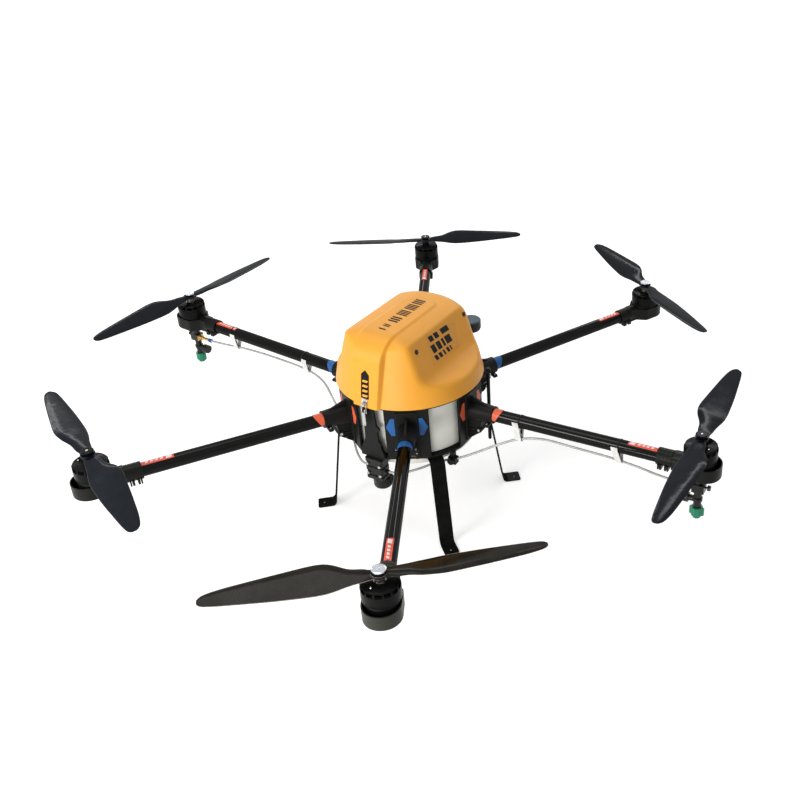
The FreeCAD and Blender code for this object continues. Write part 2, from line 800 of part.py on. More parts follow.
def motor_mount():
    """Pot that holds the motor, with the neck and clamping sleeve on the arm tube."""
    neck = neck_diameter / 2
    body = upright(pot_plan(pot_radius, neck - pot_wall / 2), pot_floor, pot_rim)
    rounds = [edge for edge in body.Edges if edge.CenterOfMass.z < pot_floor + 0.1
              and edge.CenterOfMass.x > -pot_radius]
    body = body.makeFillet(pot_edge, rounds)
    throat = rod(neck, V(-sleeve_distance, 0, 0), X_AXIS, sleeve_distance - pot_pocket + past)
    start = -sleeve_distance - sleeve_length
    sleeve = rod(sleeve_diameter / 2, V(start, 0, 0), X_AXIS, sleeve_length)
    body = fuse([body, throat, sleeve] + sleeve_lumps(start))
    grooves = []
    for number in range(sleeve_grooves):
        x = start + sleeve_length * (number + 1) / (sleeve_grooves + 1) - sleeve_groove_width / 2
        groove = rod(sleeve_diameter, V(x, 0, 0), X_AXIS, sleeve_groove_width)
        core = rod(sleeve_diameter / 2 - sleeve_groove_depth, V(start, 0, 0), X_AXIS, sleeve_length)
        grooves.append(groove.cut(core))
    bore = rod(tube_radius + tube_fit, V(start - past, 0, 0), X_AXIS,
               tube_end - start + past + clearance)
    wires = rod(tube_radius - tube_wall, V(tube_end, 0, 0), X_AXIS, -tube_end)
    front = pot_shift + pot_pocket
    round_end = pot_pocket * nearly_whole
    pocket = upright([(front, -pot_pocket, round_end), (front, pot_pocket, round_end),
                      (-pot_pocket, pot_pocket, round_end), (-pot_pocket, -pot_pocket, round_end)],
                     pot_floor + pot_wall, pot_rim + past)
    reach = pot_shift + pot_radius
    slope = side_prism([(-pot_slope_start, pot_rim), (reach + past, pot_front_rim),
                        (reach + past, pot_rim + past), (-pot_slope_start, pot_rim + past)],
                       -reach, reach)
    bell_room = disc(bell_radius + winding_gap, bell_bottom - bell_gap, bell_top)
    body = body.cut(Part.makeCompound(grooves)).cut(bore).cut(wires).cut(pocket)
    return body.cut(slope).cut(bell_room)


def motor_stator():
    """Motor base and windings, fixed in the pot, with the bore for the shaft."""
    low = pot_floor + pot_wall
    core = bell_radius - bell_wall - winding_gap
    step = bell_bottom - bell_gap
    shoulder = bell_top - winding_drop
    bore = shaft_radius + running_gap
    hollow = core - winding_depth
    floor = low + stator_floor
    bearing_top = bell_top - bearing_drop
    points = [(bore, low), (stator_radius, low, 3), (stator_radius, step, 2), (core, step),
              (core, shoulder, 3), (hollow, shoulder, 3), (hollow, floor), (bearing_radius, floor),
              (bearing_radius, bearing_top), (bore, bearing_top)]
    return lathe(points)


def rotor_bell():
    """Turning bell of the motor, with its shaft."""
    inner = bell_radius - bell_wall
    boss = bell_boss_diameter / 2
    boss_top = hub_bottom - flange_thickness - clearance
    shaft_low = pot_floor + pot_wall + clearance
    points = [(inner, bell_bottom), (bell_radius, bell_bottom, 1), (bell_radius, bell_dome, 7),
              (boss, bell_top, 2), (boss * boss_taper, boss_top, 1), (0, boss_top), (0, shaft_low),
              (shaft_radius, shaft_low), (shaft_radius, bell_dome - bell_wall),
              (inner, bell_dome - bell_wall, 3)]
    body = lathe(points)
    slot_low = bell_dome - bell_slot_drop - bell_slot_height
    pitch = 360 / bell_slots
    width = math.radians(pitch) * bell_radius * bell_slot_share
    slots = []
    for number in range(bell_slots):
        slot = box((inner - past, bell_radius + past), (-width / 2, width / 2),
                   (slot_low, slot_low + bell_slot_height))
        slots.append(turned(slot, pitch * number))
    return body.cut(Part.makeCompound(slots))


def propeller_adapter():
    """Flange, stud and flared cap that clamp the propeller to the bell."""
    low = hub_bottom - flange_thickness
    hub_top = hub_bottom + hub_thickness
    cap = hub_top + adapter_height
    flange = bell_boss_diameter / 3
    radius = adapter_diameter / 2
    points = [(0, low), (flange, low), (flange, hub_bottom), (shaft_radius, hub_bottom),
              (shaft_radius, hub_top), (flange * boss_taper, hub_top), (radius, cap - adapter_edge),
              (radius, cap - adapter_edge / 3), (radius - adapter_edge, cap), (0, cap)]
    return lathe(points)


def blade_section(radius, ahead, behind, pitch_deg, thickness):
    """Closed aerofoil wire at a radius along +X, leading edge towards +Y."""
    lift = blade_coning * 2 * radius / propeller_diameter
    shape = [(0.0, 0.0), (0.25, 0.62), (0.62, 1.0), (0.9, 0.72), (1.0, 0.1), (0.86, -0.25),
             (0.5, -0.1), (0.2, -0.08)]
    pitch = math.radians(pitch_deg)
    points = []
    for along, height in shape:
        y = along * (ahead + behind) - behind
        z = height * thickness
        points.append(V(radius, y * math.cos(pitch) - z * math.sin(pitch),
                        lift + y * math.sin(pitch) + z * math.cos(pitch)))
    curve = Part.BSplineCurve()
    curve.interpolate(points + points[:1])
    return Part.Wire(curve.toShape())


def propeller():
    """Two-blade propeller for counter-clockwise rotors, centred on its hub."""
    tip = propeller_diameter / 2
    # share of the radius, then shares of the largest chord ahead of and behind the axis
    stations = [(0.03, 0.21, 0.21), (0.08, 0.235, 0.23), (0.13, 0.27, 0.265), (0.18, 0.32, 0.30),
                (0.23, 0.43, 0.355), (0.29, 0.53, 0.41), (0.36, 0.56, 0.44), (0.46, 0.515, 0.44),
                (0.60, 0.43, 0.42), (0.75, 0.33, 0.375), (0.88, 0.23, 0.33), (0.95, 0.145, 0.29),
                (0.985, 0.06, 0.235), (0.999, -0.03, 0.16)]
    sections = []
    for share, ahead, behind in stations:
        chord = blade_max_chord * (ahead + behind)
        twisted = min(max(share - twist_start, 0) / (twist_end - twist_start), 1)
        pitch = (root_pitch_deg + (tip_pitch_deg - root_pitch_deg) * share) * twisted
        thickness = blade_base + chord * blade_fullness + root_thickness * (1 - twisted)
        sections.append(blade_section(tip * share, blade_max_chord * ahead,
                                      blade_max_chord * behind, pitch, thickness))
    blade = Part.makeLoft(sections, True).translated(UP * -root_thickness / 2)
    half = hub_thickness / 2
    hub = disc(hub_width / 2, -half, half)
    body = fuse([hub, blade, blade.rotated(ORIGIN, UP, 180)])
    return body.cut(disc(shaft_radius + running_gap, -hub_thickness, hub_thickness))


def build_drives():
    mount = motor_mount()
    bell = rotor_bell()
    adapter = propeller_adapter()
    lift = UP * (hub_bottom + hub_thickness / 2)
    blades = {0: propeller()}
    blades[1] = blades[0].mirror(ORIGIN, Y_AXIS)
    stators = []
    for number, angle in enumerate(arm_angles):
        add("motor_mount_%d" % (number + 1), on_arm(mount, angle))
        add("rotor_%d" % (number + 1), [on_arm(bell, angle), on_arm(adapter, angle)])
        turned_blades = turned(blades[number % 2], propeller_turn[number])
        add("propeller_%d" % (number + 1), on_arm(turned_blades.translated(lift), angle))
        stators.append(on_arm(motor_stator(), angle))
    add("motor_stators", stators)


# ---- tank ---------------------------------------------------------------------------
def tank_outline(inset):
    """Half section of the tank, shrunk by a wall thickness."""
    sump = lower_ring_bore - sump_gap - inset
    bottom = ground_clearance - sump_depth + inset
    top = upper_plate_bottom - clearance - inset
    side = tank_radius - inset
    step = lower_ring_top + inset
    return [(0, bottom), (sump, bottom, sump_fillet - inset), (sump, step), (side, step, tank_foot_round),
            (side, top, tank_top_round), (0, top)]


def filler_disc(radius, low, high):
    return disc(radius, low, high, 0, filler_distance)


def build_tank():
    neck_top = upper_plate_top + filler_height
    neck_radius = filler_diameter / 2
    bore = neck_radius - neck_wall
    neck = filler_disc(neck_radius, upper_plate_bottom - 2 * tank_wall, neck_top)
    body = lathe(tank_outline(0)).fuse(neck).removeSplitter()
    hollow = lathe(tank_outline(tank_wall)).fuse(filler_disc(bore, ground_clearance, neck_top + past))
    add("tank", body.cut(hollow))
    seat = neck_top + clearance
    lid_top = seat + cap_height - cap_grip
    plug = filler_disc(bore - clearance, neck_top - 2 * cap_grip, seat + past)
    lid = filler_disc(cap_diameter / 2, seat, lid_top)
    lid = lid.makeFillet(tank_wall, [edge for edge in lid.Edges if edge.CenterOfMass.z > lid_top - past
                                     and isinstance(edge.Curve, Part.Circle)])
    grip = box((-cap_grip_length / 2, cap_grip_length / 2),
               (filler_distance - cap_grip_width / 2, filler_distance + cap_grip_width / 2),
               (seat + tank_wall, lid_top + cap_grip))
    notches = []
    notch_distance = cap_diameter / 2 + cap_notch_out
    for number in range(cap_notches):
        notch = disc(cap_notch_radius, seat - past, lid_top + past, notch_distance)
        notch = turned(notch, 360 / cap_notches * number)
        notches.append(notch.translated(Y_AXIS * filler_distance))
    add("tank_cap", fuse([plug, lid, grip]).cut(Part.makeCompound(notches)))


# ---- cover --------------------------------------------------------------------------
def cover_body(inset):
    """The cover without its band: a leaning wall, sloped in front and rounded behind."""
    low = cover_rim - (1 if inset else 0)
    top = cover_top - band_rise - inset
    rim = cover_rim_radius - inset - (low - cover_rim) * cover_draft
    crown = rim - (top - low) * cover_draft
    reach = cover_rim_radius + 20
    rear = lathe([(0, low), (rim, low), (crown, top, rear_round - inset), (0, top)])
    rear = rear.common(box((-reach, reach), (0, reach), (low, top)))
    front = lathe([(0, low), (rim, low), (crown, top), (0, top)])
    profile = [(-rim, low), (-crown, top, front_round - inset), (0, top), (0, low)]
    front = front.common(cross_prism(profile, -reach, reach))
    body = fuse([rear, front])
    edge = shoulder_edge - inset
    foot = panel_foot - inset
    foot_z = top - panel_drop
    recess = [(shoulder_start, top + past), (shoulder_start, top), (edge, top - shoulder_drop, panel_round),
              (foot, foot_z, panel_round), (reach, foot_z - (reach - foot) * shelf_fall),
              (reach, top + past)]
    for side in (-1, 1):
        points = [(side * point[0],) + point[1:] for point in recess]
        body = body.cut(side_prism(points, -reach, reach))
    return body


def cover_band(inset):
    """The raised band along the middle of the cover, from the rim over the top."""
    low = cover_rim - (1 if inset else 0)
    top = cover_top - inset
    base = cover_top - band_rise - 2 * band_round
    nose = nose_reach - inset
    nose_top = nose - (top - cover_rim) * nose_draft
    profile = [(-nose, low), (-nose_top, top, front_round - inset), (band_rear - inset, top),
               (band_rear - inset, base), (0, base), (0, low)]
    half = band_rim_width / 2 - inset
    flare = half + (top - low) * band_flare
    front_view = [(-half, low), (half, low), (flare, top), (-flare, top)]
    corner = band_corner - inset
    wide = flare * 1.02
    plan = [(-wide, -nose - 1), (wide, -nose - 1), (wide, band_rear - inset, corner),
            (-wide, band_rear - inset, corner)]
    band = cross_prism(profile, -2 * half, 2 * half)
    band = band.common(side_prism(front_view, -nose - 1, band_rear))
    band = band.common(upright(plan, low, top)).removeSplitter()
    rim = []
    for edge in band.Edges:
        middle = edge.valueAt((edge.FirstParameter + edge.LastParameter) / 2)
        on_nose = middle.y < -nose_top * 0.8 and abs(middle.x) > half * 0.9
        on_top = middle.z > top - 0.01 and abs(edge.tangentAt(edge.FirstParameter).z) < 0.5
        if (on_nose and middle.z > low + 1) or (on_top and middle.y > -nose_top * 0.8 - 1):
            rim.append(edge)
    return band, rim


def cover_solid(inset):
    """The cover's outer shape as a solid, shrunk all over by a wall thickness."""
    band, rim = cover_band(inset)
    band = band.makeFillet(band_round - inset, rim)
    return fuse([cover_body(inset), band])


def cover_shell():
    outer = cover_solid(0)
    return outer.cut(cover_solid(cover_wall))


def panel_point(y, drop):
    """A point on the cover's right-hand side panel, a given drop below the body's top."""
    slope = (panel_foot - shoulder_edge) / (panel_drop - shoulder_drop)
    return V(shoulder_edge + (drop - shoulder_drop) * slope, y, cover_top - band_rise - drop)


def build_cover():
    knuckle = rod(hinge_radius, V(-knuckle_width / 2, hinge_y, hinge_z), X_AXIS, knuckle_width)
    leaf = box((-knuckle_width / 2, knuckle_width / 2),
               (cover_rim_radius - cover_wall, hinge_y), (cover_rim, hinge_z + hinge_radius))
    ledge = ring(cover_rim_radius - cover_wall / 2, cover_rim_radius - cover_wall - cover_ledge,
                 cover_rim, cover_rim + cover_wall)
    shell = cover_shell()
    body = fuse([shell, knuckle, leaf, ledge])
    pin_hole = rod(hinge_pin / 2 + running_gap, V(-knuckle_width, hinge_y, hinge_z), X_AXIS,
                   2 * knuckle_width)
    body = body.cut(pin_hole)
    add("cover", body)

    ear_start = knuckle_width / 2 + 2 * clearance
    stem_half = hinge_stem / 2
    base_low = upper_plate_bottom - ring_thickness
    ears = []
    for side in (-1, 1):
        x = sorted((side * ear_start, side * (ear_start + hinge_ear)))
        round_end = rod(hinge_radius, V(x[0], hinge_y, hinge_z), X_AXIS, hinge_ear)
        stem = box(x, (hinge_y - stem_half, hinge_y + stem_half), (base_low, hinge_z))
        ears.append(round_end.fuse(stem))
    width = ear_start + hinge_ear
    base = box((-width, width), (tank_radius + hinge_base_gap, hinge_y + stem_half),
               (base_low, upper_plate_bottom))
    frame = fuse([base] + ears).cut(rod(hinge_pin / 2 + running_gap, V(-2 * width, hinge_y, hinge_z),
                                        X_AXIS, 4 * width))
    pin = rod(hinge_pin / 2, V(-width - past, hinge_y, hinge_z), X_AXIS, 2 * (width + past))
    add("cover_hinge", [frame, pin])

    solid = cover_solid(0)
    hook_y = pivot_y - bail_wire / 2 - catch_room
    hook_low = hook_z - catch_height
    half = lever_width / 2 - catch_side
    plate_half = half + catch_plate_side
    nose = -nose_reach + nose_draft * (hook_z - cover_rim)
    catch = box((-half, half), (hook_y - catch_thickness, nose + catch_root),
                (hook_low, hook_z - bail_wire / 2 - catch_gap))
    lip = box((-half, half), (hook_y - catch_thickness, hook_y), (hook_low, hook_z + catch_lip))
    plate = box((-plate_half, plate_half), (nose - catch_plate_thickness, nose + catch_root),
                (hook_low - catch_plate_foot, hook_z + catch_plate_rise))
    fittings = [fuse([catch, lip, plate]).cut(solid)]
    slope = V(panel_drop - shoulder_drop, 0, panel_foot - shoulder_edge)
    slope.normalize()
    slot_half = plug_slot / 2
    for end in (-1, 1):
        place = panel_point(plug_centre + end * plug_spread / 2, plug_drop)
        plug = rod(plug_diameter / 2, place, slope, plug_rise)
        slot = box((-slot_half, slot_half), (-plug_diameter, plug_diameter), (-slot_half, slot_half))
        plug = plug.cut(slot.translated(place + slope * plug_rise))
        fittings.append(plug)
        fittings.append(mirrored_x(plug))
    add("cover_fittings", fittings)


def build_latch():
    half = lever_width / 2
    pin = latch_pin / 2
    block = half - lever_cheek - clearance
    back = -frame_radius - latch_seat
    base = cross_prism([(pivot_y, pivot_z - latch_nose), (pivot_y, pivot_z + latch_nose),
                        (back, pivot_z + latch_nose), (back, pivot_z - latch_foot)], -block, block)
    nose = rod(latch_nose, V(-block, pivot_y, pivot_z), X_AXIS, 2 * block)
    cut = rod(pin + running_gap, V(-half, pivot_y, pivot_z), X_AXIS, lever_width)
    base = base.fuse(nose).cut(cut)

    low = pivot_z - lever_length
    front = pivot_y - latch_nose - clearance
    outside = front - lever_sheet
    web = box((-half, half), (outside, front), (low, pivot_z - lever_web_drop))
    ear = pivot_y + lever_ear
    top = pivot_z + lever_ear
    cheeks = []
    for side in (-1, 1):
        x = sorted((side * (half - lever_cheek), side * half))
        plate = cross_prism([(outside, low + lever_web_drop), (outside, pivot_z),
                             (front, top, lever_cheek), (ear, top, lever_corner),
                             (ear, pivot_z - lever_ear_drop, lever_corner),
                             (front + lever_toe, low + lever_web_drop)], x[0], x[1])
        cheeks.append(plate)
    curl = rod(lever_curl, V(-half, front - lever_curl + lever_toe, low + lever_toe), X_AXIS, lever_width)
    lever_pin = rod(pin, V(-half + pin_inset, pivot_y, pivot_z), X_AXIS, lever_width - 2 * pin_inset)
    lever = fuse([web, curl, lever_pin] + cheeks)
    hole = rod(bail_wire / 2 + running_gap, V(-half - past, pivot_y, bail_z), X_AXIS,
               lever_width + 2 * past)
    add("latch_lever", lever.cut(hole))

    wire = bail_wire / 2
    leg_x = half + clearance + wire
    pieces = []
    for side in (-1, 1):
        foot = V(side * leg_x, pivot_y, bail_z)
        pieces.append(rod(wire, foot, UP, bail_length))
        stub = half - lever_cheek + stub_gap
        start = min(side * stub, side * leg_x)
        pieces.append(rod(wire, V(start, pivot_y, bail_z), X_AXIS, leg_x - stub))
        pieces.append(Part.makeSphere(wire, foot))
        pieces.append(Part.makeSphere(wire, foot + UP * bail_length))
    pieces.append(rod(wire, V(-leg_x, pivot_y, hook_z), X_AXIS, 2 * leg_x))
    add("latch_bail", fuse(pieces))
    return base


# ---- legs ---------------------------------------------------------------------------
def strip_outline(path, radius, thickness):
    """Outline of a bent flat strip from its mid line."""
    half = thickness / 2
    sides = {1: [], -1: []}
    for index, (x, z) in enumerate(path):
        here = V(x, z, 0)
        normals = []
        for first, second in ((index - 1, index), (index, index + 1)):
            if first < 0 or second >= len(path):
                continue
            run = V(*path[second], 0) - V(*path[first], 0)
            run.normalize()
            normals.append(V(-run.y, run.x, 0))
        normal = normals[0] + normals[-1]
        normal.normalize()
        stretch = half / normal.dot(normals[0])
        turn = 0
        if len(normals) == 2:
            turn = 1 if normals[0].cross(normals[1]).z > 0 else -1
        for side in (1, -1):
            point = here + normal * (side * stretch)
            bend = radius - side * turn * half if turn else 0
            sides[side].append((point.x, point.y, bend))
    return sides[1] + sides[-1][::-1]


def build_legs():
    half = leg_thickness / 2
    tab = ground_clearance - clearance - half
    path = [(leg_tab_start, tab), (leg_top, tab), (leg_bottom, half), (leg_end, half)]
    body = side_prism(strip_outline(path, leg_bend, leg_thickness), -leg_width / 2, leg_width / 2)
    ends = [edge for edge in body.Edges if abs(edge.CenterOfMass.x - leg_end) < 0.01
            and abs(edge.tangentAt(0).z) > 0.9]
    body = body.makeFillet(leg_round, ends)
    hole_x = leg_end - foot_hole_inset
    body = body.cut(disc(foot_hole_diameter / 2, -past, leg_thickness + past, hole_x, 0))
    bolt_x = (lower_ring_bore + frame_radius) / 2
    bolts = []
    for side in (-1, 1):
        body = body.cut(disc(screw_radius, tab - half - past, tab + half + past, bolt_x,
                             side * leg_bolt_offset))
        bolts.append(screw(V(bolt_x, side * leg_bolt_offset, tab - half), -UP, leg_thickness))
    for number, angle in enumerate(leg_angles):
        add("leg_%d" % (number + 1), turned(body, angle))
    return [turned(bolt, angle) for bolt in bolts for angle in leg_angles]


# ---- spray system -------------------------------------------------------------------
def nozzle_body():
    """Nozzle holder under a motor, in the arm's own frame."""
    radius = nozzle_diameter / 2
    bottom = nozzle_top - nozzle_length
    edge = radius + nozzle_flange
    flange = disc(edge, nozzle_top - pot_wall, nozzle_top)
    stem = disc(radius, bottom, nozzle_top - past)
    nut = disc(radius + collar_wall, bottom + nut_rise, bottom + nut_rise + nut_height)
    saddle = box((-edge, edge + collar_wall), (-radius - collar_wall, radius + collar_wall),
                 (inlet_z - saddle_height / 2, inlet_z + saddle_height / 2))
    thumb_z = inlet_z + hose_radius
    thumb = rod(collar_wall, V(radius, 0, thumb_z), X_AXIS, thumb_length)
    knob = rod(thumb_knob, V(radius + thumb_length - past, 0, thumb_z), X_AXIS, thumb_knob)
    valve_z = pot_floor - valve_drop
    valve = rod(valve_diameter / 2, V(-radius - valve_reach, 0, valve_z), X_AXIS, valve_length)
    neck = rod(valve_neck / 2, V(-radius - valve_reach, 0, valve_z), X_AXIS, valve_reach + past)
    barb = rod(hose_radius + collar_wall / 2, V(-inlet_reach + collar_length, 0, inlet_z), X_AXIS,
               inlet_reach - collar_length)
    hexagon = rod(barb_hexagon / 2, V(-edge - collar_length, 0, inlet_z), X_AXIS, collar_length + past)
    return fuse([flange, stem, nut, saddle, thumb, knob, valve, neck, barb, hexagon])


def hose_collar():
    """Push-in collar round the hose's end."""
    return rod(hose_radius + collar_wall, V(-inlet_reach, 0, inlet_z), X_AXIS, collar_length)


def nozzle_cap():
    """Quarter-turn cap with two wings, under the nozzle holder."""
    top = nozzle_top - nozzle_length - clearance
    bottom = top - nozzle_cap_height
    shoulder = bottom + nozzle_cap_foot
    radius = nozzle_cap_diameter / 2
    reach = radius + nozzle_wing
    body = disc(radius, shoulder - past, top).fuse(disc(nozzle_foot_diameter / 2, bottom, shoulder))
    wings = box((-reach, reach), (-hose_radius, hose_radius), (shoulder, top - hose_radius))
    spout = disc(nozzle_spout, bottom - spout_drop, bottom + past)
    ribs = []
    step = 360 / nozzle_cap_ribs
    for number in range(nozzle_cap_ribs):
        rib = disc(collar_wall / 2, shoulder, top - past, radius)
        ribs.append(turned(rib, step * (number + 0.5)))
    return fuse([body, wings, spout] + ribs)


# routes of the hoses, from the pump's outlets to the nozzles
right_route = [V(46.3, -215, 243), V(70, -215, 243), V(99, -196, 247), V(128, -167, 252),
               V(153, -133, 257), V(182, -103, 261), V(220, -80, 266), V(272, -60, 293),
               V(330, -36, 326), V(392, -12, 354), V(466, -1, 369), V(540, 1, 368),
               V(612, 0, 371), V(694, 0, 373), V(764, 0, 369), V(820, 0, 361)]
left_route = [V(-30.3, -215, 243), V(-54, -215, 243), V(-84, -197, 247), V(-116, -169, 252),
              V(-147, -136, 257), V(-180, -103, 261), V(-220, -80, 266), V(-268, -56, 284),
              V(-312, -30, 307), V(-352, -8, 334), V(-402, 0, 355), V(-472, 0, 366),
              V(-552, -1, 371), V(-642, 0, 373), V(-730, 0, 370), V(-806, 0, 362)]


# the lead on arm 2, drawn for the arm along +X
lead_route = [V(258, -26.8, 413), V(265, -34, 400), V(268, -35.5, 384), V(263, -33, 369),
              V(247, -23.2, 357)]


def hose_end(angle):
    """The point where a hose enters its collar."""
    tip = Part.Vertex(V(-inlet_reach - 2 * clearance, 0, inlet_z))
    return on_arm(tip, angle).Point


def route_point(route, distance):
    """The point of a hose's route at a horizontal distance from the body's axis."""
    for first, second in zip(route, route[1:]):
        near = math.hypot(first.x, first.y)
        far = math.hypot(second.x, second.y)
        if near <= distance <= far:
            return first + (second - first) * ((distance - near) / (far - near))
    return route[-1]


def tie(route, distance, angle):
    """Strap round the arm tube, with a drop loop round the hose."""
    hose = route_point(route, distance)
    along = (distance - motor_radius) / math.cos(rise)
    inner = tube_radius + running_gap
    strap = rod(inner + tie_thickness, V(along - tie_width / 2, 0, 0), X_AXIS, tie_width)
    strap = on_arm(strap, 0)
    bore = on_arm(rod(inner, V(along - tie_width, 0, 0), X_AXIS, 2 * tie_width), 0)
    low = hose.z
    room = hose_radius + tie_slack
    loop = rod(room + tie_thickness, V(distance - tie_width / 2, 0, low), X_AXIS, tie_width)
    axis_z = arm_axis_at_motor + along * math.sin(rise)
    tail = box((distance - tie_width / 2, distance + tie_width / 2),
               (-tie_thickness / 2, tie_thickness / 2), (low + hose_radius, axis_z))
    hole = rod(room, V(distance - tie_width, 0, low), X_AXIS, 2 * tie_width)
    return turned(fuse([strap, loop, tail]).cut(bore).cut(hole), angle)


def hose_clamp(route):
    """Block under the lower ring that grips the hose, with its clamping knob."""
    centre = (route[5] + route[6]) * 0.5
    half = clamp_size / 2
    flat = half * clamp_flatness
    stem = clamp_stem / 2
    block = box((centre.x - half, centre.x + half), (centre.y - flat, centre.y + flat),
                (centre.z - half, centre.z + flat))
    stem = box((centre.x - stem, centre.x + stem), (centre.y - stem, centre.y + stem),
               (centre.z, ground_clearance))
    knob = rod(clamp_knob_radius, V(centre.x, centre.y - flat - clamp_knob_length, centre.z), Y_AXIS,
               clamp_knob_length + past)
    return fuse([block, stem, knob]).cut(tube_along(route, hose_radius + tube_fit))


def build_spray():
    fittings = []
    routes = {"right": right_route, "left": left_route}
    for number, side in spray_arms.items():
        angle = arm_angles[number]
        add("nozzle_" + side, [on_arm(nozzle_body(), angle), on_arm(hose_collar(), angle)])
        add("nozzle_cap_" + side, on_arm(nozzle_cap(), angle))
        route = routes[side] + [hose_end(angle)]
        add_cord("spray_hose_" + side, route, hose_diameter)
        strap_route = [turned(Part.Vertex(point), -angle).Point for point in route]
        for distance in tie_distances[side]:
            fittings.append(tie(strap_route, distance, angle))
        fittings.append(hose_clamp(route))
    add("hose_fittings", fittings)


def pump_head():
    """Stacked plates of the diaphragm pump, with its two outlets."""
    half = pump_width / 2
    pitch = pump_head_height / pump_plates
    low = pump_top - pump_head_height
    gap = pump_plate_gap
    pieces = [box((pump_centre_x - half + gap, pump_centre_x + half - gap),
                  (pump_front + gap, pump_back - past), (low, pump_top))]
    for number in range(pump_plates):
        inset = pump_plate_step * (number % 2)
        slab = box((pump_centre_x - half + inset, pump_centre_x + half - inset),
                   (pump_front + inset, pump_back),
                   (low + pitch * number + gap / 2, low + pitch * (number + 1) - gap / 2))
        corners = [edge for edge in slab.Edges if abs(edge.tangentAt(0).z) > 0.9]
        pieces.append(slab.makeFillet(pump_corner, corners))
    for route in (right_route, left_route):
        side = 1 if route[0].x > pump_centre_x else -1
        start = route[0] - X_AXIS * (side * clearance)
        wall = pump_centre_x + side * (half - 2 * gap)
        pieces.append(rod(hose_radius + outlet_wall, V(min(wall, start.x), start.y, start.z), X_AXIS,
                          abs(start.x - wall)))
    return fuse(pieces)


def pump_motor():
    """Finned motor under the pump's head."""
    radius = pump_motor_diameter / 2
    centre = V(pump_centre_x + pump_motor_shift, pump_front + radius, 0)
    top = pump_top - pump_head_height - clearance
    low = top - pump_motor_height
    motor = disc(radius, low, top, centre.x, centre.y)
    rim = [edge for edge in motor.Edges if edge.CenterOfMass.z < top - past
           and isinstance(edge.Curve, Part.Circle)]
    motor = motor.makeFillet(pump_motor_round, rim)
    fins = []
    half = pump_fin_width / 2
    for number in range(pump_fins):
        fin = box((radius - pump_fin_width, radius + pump_fin_reach), (-half, half),
                  (low + pump_fin_foot, top - pump_fin_reach))
        fins.append(turned(fin, pump_fin_pitch_deg * (number - (pump_fins - 1) / 2)).translated(centre))
    return fuse([motor] + fins)


def pump_screw_places():
    places = []
    for side in (-1, 1):
        for drop in pump_screw_drops:
            places.append(V(pump_centre_x + side * pump_screw_across, pump_front, pump_top - drop))
    return places


def nose_plate():
    """Outline of the plate on the frame's front, between the pump and the latch."""
    foot = ground_clearance
    toe = lower_ring_top + nose_toe
    waist = lower_ring_top + nose_waist
    top = pivot_z + past
    heights = (top, waist, toe, foot)
    left = (nose_plate_top[0], nose_plate_top[0] - nose_flare[0]) + (nose_plate_foot[0],) * 2
    right = (nose_plate_top[1], nose_plate_top[1] + nose_flare[1]) + (nose_plate_foot[1],) * 2
    down = list(zip(left, heights, nose_plate_rounds))
    up = list(zip(right, heights, nose_plate_rounds))[::-1]
    return down + up


def build_pump(latch_base):
    places = pump_screw_places()
    screws = [screw(place, -Y_AXIS, pump_screw_length) for place in places]
    holes = [rod(screw_radius, place - Y_AXIS, Y_AXIS, 2 * pump_screw_length) for place in places]
    head = pump_head().cut(Part.makeCompound(holes))
    add("spray_pump", [head, pump_motor()] + screws)

    face = frame_radius + clearance
    inside = disc(face, 0, cover_top)
    front = -face - nose_plate_thickness
    plate = side_prism(nose_plate(), front, -face + nose_plate_thickness).cut(inside)
    lugs = []
    for z in nose_lug_heights:
        lugs.append(rod(nose_lug_radius, V(nose_lug_x, front, lower_ring_top + z), Y_AXIS,
                        nose_plate_thickness))
    add("pump_bracket", fuse([plate, latch_base] + lugs).cut(inside))


# ---- electronics --------------------------------------------------------------------
def rounded_case(size, centre_y, base):
    """A case standing on base, with its upright corners rounded."""
    x, y, z = size
    body = box((-x / 2, x / 2), (centre_y - y / 2, centre_y + y / 2), (base, base + z))
    return body.makeFillet(battery_round, [edge for edge in body.Edges
                                           if abs(edge.tangentAt(0).z) > 0.9])


def gps_puck():
    """Domed disc at the end of a short arm, drawn for the direction +X."""
    low = upper_plate_top + puck_base
    high = low + puck_height
    radius = puck_diameter / 2
    puck = lathe([(0, low), (radius - puck_edge, low, 2), (radius, low + puck_foot_height),
                  (radius, high - puck_edge, 2), (radius - puck_edge, high, 2), (0, high)])
    arm_low = low + puck_edge
    half = puck_arm_width / 2
    arm = box((-puck_arm_reach, 0), (-half, half), (arm_low, arm_low + puck_arm_height))
    return puck.fuse(arm).removeSplitter().translated(V(puck_distance, 0, 0))


def antenna():
    """Hanging whip and the clip that holds it on the upper plate, drawn for +X."""
    top = upper_plate_top - antenna_drop
    radius = antenna_diameter / 2
    low = top - antenna_length
    whip = lathe([(0, low), (radius, low, radius * 0.9), (radius, top), (0, top)])
    collar = disc(radius + clip_reach / 2, top, top + collar_rise)
    whip = whip.fuse(collar).translated(V(antenna_distance, 0, 0))
    face = frame_radius + clearance
    reach = antenna_distance + radius + clip_reach
    ledge = top - clip_height / 5
    points = [(face - clip_reach, ledge - clip_height), (reach, ledge - clip_height), (reach, ledge),
              (face + clip_reach, ledge, 3), (face + clip_reach, upper_plate_top),
              (face - clip_reach, upper_plate_top)]
    clip = side_prism(points, -clip_width / 2, clip_width / 2).cut(disc(face, 0, cover_top))
    clip = clip.cut(disc(radius + running_gap, 0, cover_top, antenna_distance, 0))
    return [whip, clip]


